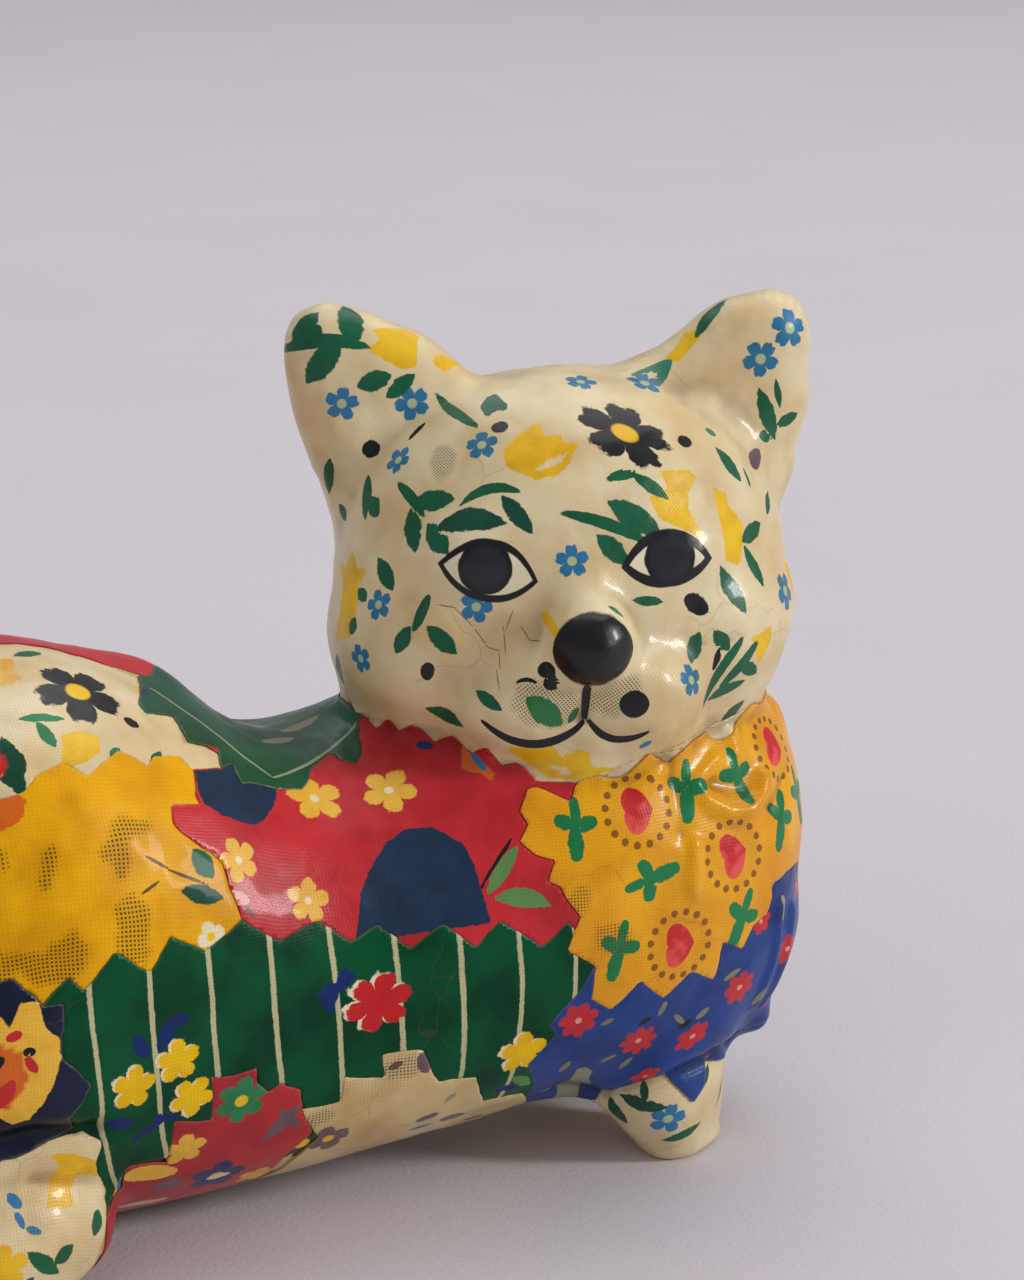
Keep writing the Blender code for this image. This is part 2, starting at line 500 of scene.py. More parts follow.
def opened(u: float, v: float, length: float, width: float, turn: float = 0.0) -> Patch:
    """An oval place where the paste has not filled the weave."""
    ring = []
    for step in range(OPEN_RING):
        angle = step * math.tau / OPEN_RING
        shift = turned((length * math.cos(angle), width * math.sin(angle)), turn)
        ring.append((u + shift[0], v + shift[1]))
    return Patch(ring)


def brushed(start: Pair, end: Pair, width: float, bend: float = 0.0, ink: Ink = Ink.LEAF) -> Motif:
    """A brushed stroke with tapered ends, under the leaves.

    Args:
        start: One end of it on the sheet.
        end: The other end.
        width: Half its width in millimetres.
        bend: How far its middle stands off the straight line.
        ink: Its colour.

    Returns:
        The stroke.
    """
    across, up = end[0] - start[0], end[1] - start[1]
    middle = (start[0] + end[0]) / 2, (start[1] + end[1]) / 2
    turn = math.degrees(math.atan2(up, across))
    return Motif(Layer.BOLD, *middle, math.hypot(across, up) * 0.54, width, turn, 0, ink, bend)


def sprig(u: float, v: float, turn: float, size: float = 1.0) -> list[Motif]:
    """A stem with three blunt leaves.

    Args:
        u: The place of the fork along the sheet.
        v: The place of the fork up the sheet.
        turn: The way the stem points, in degrees.
        size: One is 6 mm from end to end.

    Returns:
        The shapes that make it.
    """
    shapes = []
    for angle, away, length, width in (
        (0, 1.5, 1.5, 0.58), (180, 1.7, 1.7, 0.85), (68, 1.05, 1.2, 0.8), (-74, 1.05, 1.2, 0.78),
    ):
        shift = turned((away * size, 0), turn + angle)
        place = u + shift[0], v + shift[1]
        sizes = length * size, width * size
        shapes.append(Motif(Layer.FINE, *place, *sizes, turn + angle, BLUNT, Ink.GREEN))
    return shapes


class Wire:
    """A node's output, for use in Python expressions on values. Each operator adds a Math node."""

    def __init__(self, bench: "Bench", socket: bpy.types.NodeSocket) -> None:
        """Keeps the socket and the bench that adds its nodes."""
        self.bench = bench
        self.socket = socket

    def _math(self, operation: str, *values: "Wire | float") -> "Wire":
        """A Math node on these values."""
        return self.bench.node("ShaderNodeMath", {"operation": operation}, dict(enumerate(values)))

    def __add__(self, other: "Wire | float") -> "Wire":
        """The sum."""
        return self._math("ADD", self, other)

    def __sub__(self, other: "Wire | float") -> "Wire":
        """This less the other."""
        return self._math("SUBTRACT", self, other)

    def __mul__(self, other: "Wire | float") -> "Wire":
        """The product."""
        return self._math("MULTIPLY", self, other)

    def __truediv__(self, other: "Wire | float") -> "Wire":
        """The quotient."""
        return self._math("DIVIDE", self, other)

    def __pow__(self, other: "Wire | float") -> "Wire":
        """This to a power."""
        return self._math("POWER", self, other)

    def __rsub__(self, other: float) -> "Wire":
        """The other less this."""
        return self._math("SUBTRACT", other, self)

    def __neg__(self) -> "Wire":
        """The value with its sign changed."""
        return self._math("MULTIPLY", self, -1.0)

    __radd__ = __add__
    __rmul__ = __mul__

    def size(self) -> "Wire":
        """The value without its sign."""
        return self._math("ABSOLUTE", self)

    def sine(self) -> "Wire":
        """The sine."""
        return self._math("SINE", self)

    def cosine(self) -> "Wire":
        """The cosine."""
        return self._math("COSINE", self)

    def least(self, other: "Wire | float") -> "Wire":
        """The smaller of the two."""
        return self._math("MINIMUM", self, other)

    def most(self, other: "Wire | float") -> "Wire":
        """The larger of the two."""
        return self._math("MAXIMUM", self, other)

    def above(self, other: "Wire | float") -> "Wire":
        """One where this is the larger, else zero."""
        return self._math("GREATER_THAN", self, other)

    def part(self) -> "Wire":
        """What is left over from whole numbers."""
        return self._math("FRACT", self)

    def angle_to(self, other: "Wire") -> "Wire":
        """The angle of the direction (other, this)."""
        return self._math("ARCTAN2", self, other)

    def step(self, low: float, high: float) -> "Wire":
        """A smooth step from 0 at low to 1 at high."""
        settings = {"interpolation_type": "SMOOTHSTEP"}
        return self.bench.node("ShaderNodeMapRange", settings, {0: self, 1: low, 2: high})


class Bench:
    """Where one material's nodes are put together."""

    def __init__(self, name: str) -> None:
        """Starts an empty material of that name."""
        self.material = bpy.data.materials.new(name)
        self.material.use_nodes = True
        self.tree = self.material.node_tree
        self.tree.nodes.clear()
        raw = self.node("ShaderNodeTexCoord", {}, {}, "Object")
        self.place = self.vector("SCALE", raw, 1 / MM)  # on the form, in millimetres

    def node(
        self,
        kind: str,
        settings: dict[str, object] | None = None,
        sockets: dict[int | str, object] | None = None,
        output: int | str = 0,
    ) -> Wire:
        """Adds any node.

        Args:
            kind: The node's type.
            settings: Its own settings, set first. "stops" are a ramp's (place, colour) pairs.
            sockets: Values or wires for its inputs, by number or name.
            output: The output that is wanted.

        Returns:
            That output.
        """
        made = self.tree.nodes.new(kind)
        for name, value in (settings or {}).items():
            if name == "stops":
                self._set_stops(made.color_ramp, value)
            else:
                setattr(made, name, value)
        for name, value in (sockets or {}).items():
            if isinstance(value, Wire):
                self.tree.links.new(value.socket, made.inputs[name])
            else:
                made.inputs[name].default_value = value
        return Wire(self, made.outputs[output] if len(made.outputs) else None)

    @staticmethod
    def _set_stops(ramp: bpy.types.ColorRamp, stops: Sequence[tuple[float, tuple]]) -> None:
        """Gives a ramp its stops."""
        while len(ramp.elements) < len(stops):
            ramp.elements.new(1.0)
        for element, (place, colour) in zip(ramp.elements, stops):
            element.position = place
            element.color = colour

    def mix(self, share: Wire | float, first: object, second: object, blend: str = "MIX") -> Wire:
        """Two colours mixed.

        Args:
            share: How much of the second there is.
            first: A colour wire, an ink or a colour code.
            second: The same.
            blend: How they are blended.

        Returns:
            The mixed colour.
        """
        ends = [linear(end) if isinstance(end, (Ink, str)) else end for end in (first, second)]
        settings = {"data_type": "RGBA", "blend_type": blend}
        return self.node("ShaderNodeMix", settings, {0: share, 6: ends[0], 7: ends[1]}, 2)

    def attribute(self, name: str, output: str = "Vector") -> Wire:
        """What a mesh carries under that name."""
        return self.node("ShaderNodeAttribute", {"attribute_name": name}, {}, output)

    def parts(self, vector: Wire) -> tuple[Wire, Wire, Wire]:
        """A vector's three numbers."""
        split = self.node("ShaderNodeSeparateXYZ", {}, {0: vector})
        return tuple(Wire(self, split.socket.node.outputs[index]) for index in range(3))

    def vector(self, operation: str, first: object, second: object) -> Wire:
        """A Vector Math node. SCALE takes its number second."""
        slot = 3 if operation == "SCALE" else 1
        return self.node("ShaderNodeVectorMath", {"operation": operation}, {0: first, slot: second})

    def finished(
        self, colour: Wire, rough: Wire, relief: Wire, more: dict[str, float] | None = None
    ) -> bpy.types.Material:
        """Ends the material with its surface.

        Args:
            colour: The surface's colour.
            rough: How rough it is.
            relief: Its bumped normal.
            more: Other inputs of the surface, by name.

        Returns:
            The material.
        """
        sockets = {"Base Color": colour, "Roughness": rough, "Normal": relief} | (more or {})
        shader = self.node("ShaderNodeBsdfPrincipled", {}, sockets)
        self.node("ShaderNodeOutputMaterial", {}, {"Surface": shader})
        return self.material

    def bump(self, height: Wire, strength: float) -> Wire:
        """The normal of a surface whose height is given in millimetres."""
        sockets = {"Strength": strength, "Distance": MM, "Height": height}
        return self.node("ShaderNodeBump", {}, sockets)

    def noise(self, size: float, detail: float = 2.0, output: int = 0) -> Wire:
        """Noise whose swellings are about size millimetres wide. Output 1 is its colour."""
        sockets = {"Vector": self.place, "Scale": 1 / size, "Detail": detail}
        return self.node("ShaderNodeTexNoise", {}, sockets, output)


@dataclass(frozen=True)
class Cloth:
    """A printed cotton under varnish: a ground, its print, its weave and its gloss."""

    name: str
    ground: str
    shade: str
    flower_eye: Ink = Ink.YELLOW
    eye_size: float = 0.3
    petal_depth: float = 0.48
    halo: float = 0.0
    pitch: float = 0.34
    # weave: how far painted shade darkens the gaps between the threads
    weave: float = 0.22
    bias: float = 0.0
    gap_tone: str = "#3f3d16"
    amber: float = 0.35
    gloss: float = 0.14
    shine: float = 0.32
    gap_tint: float = 0.12
    polish: float = 0.26

    # Painted shade: the dark colour mixed into the gaps between the threads
    PAINTED_SHADE_BETWEEN_THREADS = "#2a2314"
    FADED = "#d8c096"
    OLD_VARNISH = "#e9c885"
    GRIME = "#b5ad90"
    # Dirt and painted shade: the colour that darkens the hollows of the form
    DIRT_AND_PAINTED_SHADE = "#7d5f34"
    CRACK = "#6b4524"
    FRAYED = "#d8c08a"
    THREAD_SWAY = 0.9  # mm: how far the threads wander
    STRAY = 1.6  # mm: how far the cracks and the open places wander
    CRACK_SCALE = 0.1  # cells a millimetre
    CRACK_WIDTH = 0.008
    COAT = {"Coat Roughness": 0.09, "Coat IOR": 1.5}

    def material(self) -> bpy.types.Material:
        """Builds the finish.

        Returns:
            The material.
        """
        bench = Bench(self.name)
        wobble = bench.vector("SUBTRACT", bench.noise(5.0, 1.0, 1), (0.5, 0.5, 0.5))
        sway = bench.vector("SCALE", wobble, self.THREAD_SWAY)
        thread = bench.vector("ADD", bench.attribute("thread"), sway)
        clouds = bench.noise(7.0, 3.0)
        colour = bench.mix(clouds.step(0.35, 0.7), self.ground, self.shade)
        colour = self.printed(bench, colour)
        threads, gaps = self.woven(bench, thread)
        # Painted shade darkens the gaps between the threads.
        colour = bench.mix(gaps * self.weave, colour, bench.mix(0.6, colour, self.PAINTED_SHADE_BETWEEN_THREADS))
        colour = self.opened_weave(bench, gaps, colour)
        colour, paint = self.painted(bench, self.aged(bench, colour))
        rough = self.polish + 0.16 * clouds + 0.02 * paint
        relief = self.relief(bench, threads, paint)
        coat = {"Specular IOR Level": self.shine, "Coat Weight": self.gloss} | self.COAT
        return bench.finished(colour, rough, relief, coat)

    def printed(self, bench: Bench, ground: Wire) -> Wire:
        """The cloth's inks on its ground.

        Args:
            bench: The material's bench.
            ground: The ground colour.

        Returns:
            The printed colour.
        """
        bleed = bench.noise(0.55, 1.0) - 0.5
        tone = bench.noise(2.6, 2.0).step(0.4, 0.7)
        inked = self.faded(bench, bench.attribute("patch_ink", "Color"), tone * 0.35)
        area = (bench.attribute("patch", "Fac") + bleed * 0.4).step(-0.06, 0.08)
        colour = bench.mix(area, ground, inked)
        x, y, petals = bench.parts(bench.attribute(Layer.BOLD.value))
        if self.halo:
            rim = self.blossom(x + self.halo, y - self.halo * 0.8, petals, bleed)[0]
            colour = bench.mix(rim * petals.above(0.5), colour, Ink.PALE)
        body, eye = self.blossom(x, y, petals, bleed)
        petal = self.faded(bench, bench.attribute("bold_ink", "Color"), tone * 0.3)
        colour = bench.mix(body, colour, petal)
        colour = bench.mix(eye * petals.above(0.5), colour, bench.attribute("bold_eye", "Color"))
        x, y, blunt = bench.parts(bench.attribute(Layer.FINE.value))
        half = (1 - x * x).most(0.0) ** blunt
        strokes = (half - y.size() + bleed * 0.4).step(0.0, 0.16)
        leaves = self.faded(bench, bench.attribute("fine_ink", "Color"), tone * 0.3)
        return bench.mix(strokes, colour, leaves)

    def faded(self, bench: Bench, ink: Wire, share: Wire) -> Wire:
        """The ink with a warmer, duller tone in places."""
        return bench.mix(share, ink, bench.mix(1.0, ink, self.FADED, "MULTIPLY"))

    def blossom(self, x: Wire, y: Wire, petals: Wire, bleed: Wire) -> tuple[Wire, Wire]:
        """A blossom and its eye.

        Args:
            x: The place across the blossom, 1 at its edge.
            y: The place up it.
            petals: How many petals it has, with how deep their notches are after the point.
            bleed: How far the ink strays.

        Returns:
            Where the petals are, and where the eye is.
        """
        radius = (x * x + y * y) ** 0.5
        notch = petals.part()
        lobes = (y.angle_to(x) * (petals - notch) * 0.5).cosine().size()
        reach = (1 - self.petal_depth) + self.petal_depth * lobes**0.55 + bleed * 0.26
        reach = reach - notch * lobes**16.0
        return (reach - radius).step(0.0, 0.09), (self.eye_size - radius).step(0.0, 0.08)

    def woven(self, bench: Bench, thread: Wire) -> tuple[Wire, Wire]:
        """A plain weave.

        Args:
            bench: The material's bench.
            thread: The place along the threads, in millimetres.

        Returns:
            The threads' height from 0 to 1, and the gaps between them.
        """
        u, v, _ = bench.parts(thread)
        across, along = math.cos(math.radians(self.bias)), math.sin(math.radians(self.bias))
        beat = math.pi / self.pitch
        warp = ((u * across + v * along) * beat).sine().size()
        weft = ((v * across - u * along) * beat).sine().size()
        gaps = (0.85 - warp).step(0.0, 0.35) * (0.85 - weft).step(0.0, 0.35)
        return warp.most(weft), gaps

    def opened_weave(self, bench: Bench, gaps: Wire, colour: Wire) -> Wire:
        """Darkens the gaps where the weave stands open."""
        ragged = (bench.noise(1.6, 2.0) - 0.5) * self.STRAY
        area = (bench.attribute("open", "Fac") + 0.2 + ragged).step(-0.2, 1.0)
        colour = bench.mix(area * self.gap_tint, colour, self.gap_tone)
        return bench.mix((area * gaps * 1.3).least(0.95), colour, self.gap_tone)

    def aged(self, bench: Bench, colour: Wire) -> Wire:
        """Yellowed varnish, dirt and painted shade in the hollows, fine cracks and frayed edges.

        Args:
            bench: The material's bench.
            colour: The fresh colour.

        Returns:
            The colour with its age on it.
        """
        stain = bench.noise(9.0, 3.0).step(0.42, 0.75)
        colour = bench.mix(stain * self.amber, colour, self.OLD_VARNISH, "MULTIPLY")
        grime = bench.noise(5.5, 2.0).step(0.5, 0.78)
        colour = bench.mix(grime * self.amber * 0.7, colour, self.GRIME, "MULTIPLY")
        hollow = bench.attribute("hollow", "Fac")
        grain = bench.noise(1.3, 3.0)
        # Dirt and painted shade: the deeper a hollow, the darker the cloth.
        colour = bench.mix((hollow * 4.5).step(0.15, 1.1) * 0.55, colour, self.DIRT_AND_PAINTED_SHADE, "MULTIPLY")
        stray = bench.vector("SCALE", bench.noise(2.0, 1.0, 1), self.STRAY)
        sockets = {"Vector": bench.vector("ADD", bench.place, stray), "Scale": self.CRACK_SCALE}
        cracks = bench.node("ShaderNodeTexVoronoi", {"feature": "DISTANCE_TO_EDGE"}, sockets)
        shown = bench.noise(11.0, 1.0).step(0.55, 0.62)
        line = (self.CRACK_WIDTH - cracks + grain * 0.003).step(0.0, self.CRACK_WIDTH) * shown
        colour = bench.mix(line * 0.2, colour, self.CRACK)
        rim = bench.attribute("rim", "Fac")
        fray = (0.26 - rim + (grain - 0.5) * 0.35).step(0.0, 0.25)
        return bench.mix(fray * 0.1, colour, self.FRAYED)

    def painted(self, bench: Bench, colour: Wire) -> tuple[Wire, Wire | float]:
        """What is painted over the cloth: nothing here."""
        return colour, 0.0

    def relief(self, bench: Bench, threads: Wire, paint: Wire | float) -> Wire:
        """The small relief of threads and brushed varnish.

        Args:
            bench: The material's bench.
            threads: The threads' height.
            paint: Where paint fills the weave.

        Returns:
            The bumped normal.
        """
        drawn = bench.noise(2.4, 2.0) * 0.12 + bench.noise(0.5, 1.0) * 0.02
        height = drawn + threads * (1 - paint * 0.6) * 0.02
        return bench.bump(height, 0.7)


@dataclass(frozen=True)
class FaceCloth(Cloth):
    """The sprigged cream cotton with the eyes, nose and mouth painted on it."""

    lid: float = 0.68
    iris: float = 2.5

    HALF_EYE = 4.75  # mm
    OPENING = 3.2  # mm: how far the upper lid stands above the corners
    # A painted reflection: the blue-grey sheen on the black iris
    IRIS_PAINTED_SHEEN = "#262b35"
    WHITE = "#eadfba"
    STROKE = "#121316"

    def painted(self, bench: Bench, colour: Wire) -> tuple[Wire, Wire]:
        """Paints the face.

        Args:
            bench: The material's bench.
            colour: The cloth's colour.

        Returns:
            The colour with the paint on it, and where the paint is.
        """
        waver = (bench.noise(1.1, 2.0) - 0.5) * 0.35
        x, y, fall = bench.parts(bench.attribute(Layer.MARK.value))
        wide = 1 - (x.size() / self.HALF_EYE).least(1.0) ** 2.4
        upper = self.OPENING * wide - y
        lower = y + self.OPENING * wide * fall
        inside = upper.least(lower) + waver * 0.35
        almond = inside.step(-0.1, 0.05) * (4.8 - x.size()).step(0.0, 0.1)
        across, above = x - (0.775 - fall) * 4.6, y - 0.45
        disc = (across * across + above * above) ** 0.5
        within_lids = (inside - self.lid - (0.86 - fall) * 2.4).step(-0.03, 0.12)
        white = within_lids * (disc - self.iris + waver).step(0.0, 0.15)
        colour = bench.mix(almond, colour, Ink.BLACK)
        # Painted reflection: a lighter blue-grey sheen over the middle of the black iris.
        ball = (self.iris - 0.2 - disc).step(0.0, 0.5)
        colour = bench.mix(ball * almond * 0.6, colour, self.IRIS_PAINTED_SHEEN)
        colour = bench.mix(white, colour, self.WHITE)
        x, y, blunt = bench.parts(bench.attribute(Layer.PAINT.value))
        half = (1 - x * x).most(0.0) ** blunt
        strokes = (half - y.size() + waver * 0.4).step(0.0, 0.1)
        return bench.mix(strokes, colour, self.STROKE), strokes.most(almond)


@dataclass(frozen=True)
class HeartCloth(Cloth):
    """The deep yellow cotton with red hearts in rings of brown dots."""

    ring: float = 1.16

    DOTS = 16  # round each heart
    HEART = "#cc2529"
    # The lighter red of each heart's painted lit side
    HEART_PAINTED_LIT = "#ee5450"
    RING_TINT = "#c9781a"
    DOT = "#7a4410"

    def printed(self, bench: Bench, ground: Wire) -> Wire:
        """Adds the hearts to the sprigs."""
        colour = super().printed(bench, ground)
        x, y, ratio = bench.parts(bench.attribute(Layer.MARK.value))
        bleed = (bench.noise(0.6, 1.0) - 0.5) * 0.12
        side = x.size()
        lift = y + 0.1 - side**0.67 * 0.45
        heart = (1.0 - side * side * 1.5 - lift * lift * 1.3 + bleed * 1.5).step(0.0, 0.12)
        # Painted light and shade on each heart: random mottling, lighter red towards one side and darker
        # towards the other.
        light = (bench.noise(1.8, 1.0) - x * 0.22 + y * 0.12).step(0.42, 0.66)
        colour = bench.mix(heart, colour, bench.mix(light, self.HEART, self.HEART_PAINTED_LIT))
        down = y * ratio
        radius = (x * x + down * down) ** 0.5
        halo = (1.3 - radius).step(0.0, 0.4) * (1 - heart)
        colour = bench.mix(halo * 0.16, colour, self.RING_TINT)
        around = (down.angle_to(x) * (self.DOTS / math.tau)).part() - 0.5
        along = around * (math.tau * self.ring / self.DOTS)
        gap = (along * along + (radius - self.ring) * (radius - self.ring)) ** 0.5
        dots = (0.15 - gap + bleed * 0.25).step(0.0, 0.04)
        return bench.mix(dots * 0.85, colour, self.DOT)


@dataclass(frozen=True)
class FenceCloth(Cloth):
    """The green cotton with cream palings."""

    half_width: float = 0.28
    paling_pitch: float = 6.48

    PALING = "#c9c296"

    def printed(self, bench: Bench, ground: Wire) -> Wire:
        """Adds the palings under the flowers, bowed a little towards the belly."""
        u, v, _ = bench.parts(bench.attribute("thread"))
        sway = (bench.noise(8.0, 1.0) - 0.5) * 0.4
        drop = 7 - v
        steps = (u - drop * drop * (0.0045 - 0.0001 * u) + sway - 0.2) / self.paling_pitch
        count = steps + steps * steps * 0.0031
        gap = ((count + 0.5).part() - 0.5).size() * self.paling_pitch
        edge = (bench.noise(0.5, 1.0) - 0.5) * 0.2
        line = (self.half_width + edge - gap).step(-0.06, 0.06)
        return super().printed(bench, bench.mix(line * 0.9, ground, self.PALING))


CREAM_CLOTH = Cloth("varnished_cream_sprig", "#ead9ae", "#dcc596", petal_depth=0.55, amber=0.4)
FACE_CLOTH = FaceCloth(
    "varnished_cream_face", "#ead9ae", "#dcc596", petal_depth=0.55, bias=38.0, pitch=0.3, amber=0.4
)
RED_CLOTH = Cloth(
    "varnished_red_blossom", "#cc2a32", "#b01f27", Ink.PALE, 0.2, petal_depth=0.55, amber=0.2,
    gloss=0.08, shine=0.24, polish=0.32,
)
FENCE_CLOTH = FenceCloth(
    "varnished_green_fence", "#00522f", "#003a22", Ink.ORANGE, 0.0, petal_depth=0.5, halo=0.1,
    weave=0.3, amber=0.12, gloss=0.04, shine=0.1,
)
SADDLE_CLOTH = Cloth(
    "varnished_green_saddle", "#0d5434", "#034225", Ink.STRAW, amber=0.1, gloss=0.06, shine=0.4
)
GAUZE_CLOTH = Cloth(
    "varnished_yellow_gauze", "#f2b206", "#dd9a04", pitch=0.42, weave=0.18, gap_tint=0.2,
    gap_tone="#3d3604", amber=0.2, gloss=0.04, shine=0.12, polish=0.36,
)
HEART_CLOTH = HeartCloth(
    "varnished_yellow_heart", "#f4b10a", "#e59a05", weave=0.3, amber=0.3, shine=0.25
)
NAVY_CLOTH = Cloth(
    "varnished_royal_blue", "#18408a", "#143070", Ink.PINK, 0.2, petal_depth=0.42, amber=0.04,
    shine=0.22,
)
LINEN_CLOTH = Cloth("varnished_linen", "#d9c08a", "#c4a469", Ink.YELLOW, weave=0.4, amber=0.4)
SKIRT_CLOTH = Cloth(
    "varnished_red_garden", "#bc2229", "#9c1a22", Ink.YELLOW, 0.28, petal_depth=0.5, amber=0.15
)
NIGHT_CLOTH = Cloth(
    "varnished_night_blue", "#101c3a", "#0a1228", Ink.ORANGE, 0.42, petal_depth=0.3, amber=0.08,
    shine=0.2,
)


@dataclass
class Fold:
    """A ridge or a groove in the skin, along a path on a sheet."""

    sheet: Sheet
    path: Sequence[Pair]
    width: float
    height: float

    def press(self, shell: Shell, lift: np.ndarray) -> None:
        """Adds the fold to each point's lift."""
        flat, reach = self.sheet.flatten(shell.points), self.sheet.covers(shell)
        line = [self.sheet.locate(shell, flat, reach, u, v)[0] for u, v in self.path]
        gap = np.full(len(shell.points), 99.0)
        for start, end in zip(line, line[1:]):
            gap = np.minimum(gap, gap_to(shell.points - start, end - start))
        lift += self.height * np.exp(-((gap / self.width) ** 2))


@dataclass
class Swell:
    """A soft swelling of the skin round one place, or a hollow where the height is below zero."""

    place: Triple
    radius: float
    height: float

    def press(self, shell: Shell, lift: np.ndarray) -> None:
        """Adds the swelling to each point's lift."""
        gap = np.linalg.norm(shell.points - np.array(self.place), axis=1)
        lift += self.height * np.exp(-((gap / self.radius) ** 2))


# Ridges and grooves in the cloth: the sheet, the path on it, half width and height
FOLDS = (
    Fold(COLLAR, [(5.5, 6.3), (6.5, 4.7), (8.9, 3.2), (11.6, 3), (13.6, 4.1), (14.7, 5.7)], 0.7, 0.75),
    Fold(COLLAR, [(8, 6.2), (11, 5.4), (13, 6.8)], 1.3, -0.5),
    Fold(COLLAR, [(4.2, 0.6), (3.8, -4)], 0.7, 0.55),
    Fold(COLLAR, [(6.4, 7), (8.8, 8.5)], 0.6, 0.45),
    Fold(COLLAR, [(11.7, 11), (11.6, 8.8)], 0.7, 0.5),
    Fold(COLLAR, [(-0.8, 6.8), (2.1, 8.5)], 0.7, 0.4),
    Fold(COLLAR, [(15, 2.6), (18, 5)], 1, -0.5),
    Fold(COLLAR, [(2.4, 9.2), (3.2, 6.4), (2.8, 2)], 1.1, -0.35),
    Fold(CHEST, [(16, 8), (15.5, 2), (14, -3)], 0.7, 0.5),
    Fold(CHEST, [(19, 6), (18, 0), (16.5, -5)], 0.7, 0.5),
    Fold(CHEST, [(-7, -10), (-2, -12.6), (0.3, -9.3), (4.2, -7.9), (8.4, -7.6), (13, -8.4)], 1.3, -1.1),
    Fold(HAUNCH, [(-8, -8.4), (0, -7.4), (5.6, -8.2)], 1.6, -1.5),
    Fold(FACE, [(-9.5, -8.2), (-5, -9.8), (-0.3, -8)], 0.7, -0.22),
    Fold(FACE, [(-0.2, -7.8), (3, -10.3), (6.2, -9.4)], 0.7, -0.22),
    Fold(FACE, [(0.4, -4), (-0.2, -7.6)], 0.6, -0.25),
)
# Soft lumps and dips of the modelling: the place, its radius and its height
SWELLS = (
    ((-12, 1.5, 51.5), 6.5, 1.45), ((-24, 1, 56.5), 7, -0.5), ((-2.5, 3, 46.4), 5, -0.6),
    ((12, -1, 46), 6, 1.3), ((7.1, 5.7, 67.5), 6, -1.9), ((42.5, -0.9, 82), 5.5, -1.2),
    ((25, 1.5, 79.7), 4.5, -1.1), ((32.3, 2.8, 79.3), 3.5, -0.7), ((15.4, 3.6, 85), 3, -0.5),
    ((55.8, -6.6, 75.4), 2.6, 0.8), ((44.5, -8.6, 76.3), 1.9, 0.5), ((46.4, -9.5, 74.1), 1.9, 0.5),
    ((48.4, -9.8, 72), 1.9, 0.4), ((50, -14, 51), 3, -0.7), ((51, -10, 45.2), 3, 0.7),
    ((51.5, -11, 62), 6, 0.7), ((52.8, -15.5, 27.4), 6, -0.7), ((50.3, -15, 16), 5, -0.6),
    ((48.2, -14.8, 12.8), 2.2, 1.8), ((44.8, -16.4, 8.8), 2.6, -0.9), ((44.5, -15.6, 3), 3.5, -1.2),
)


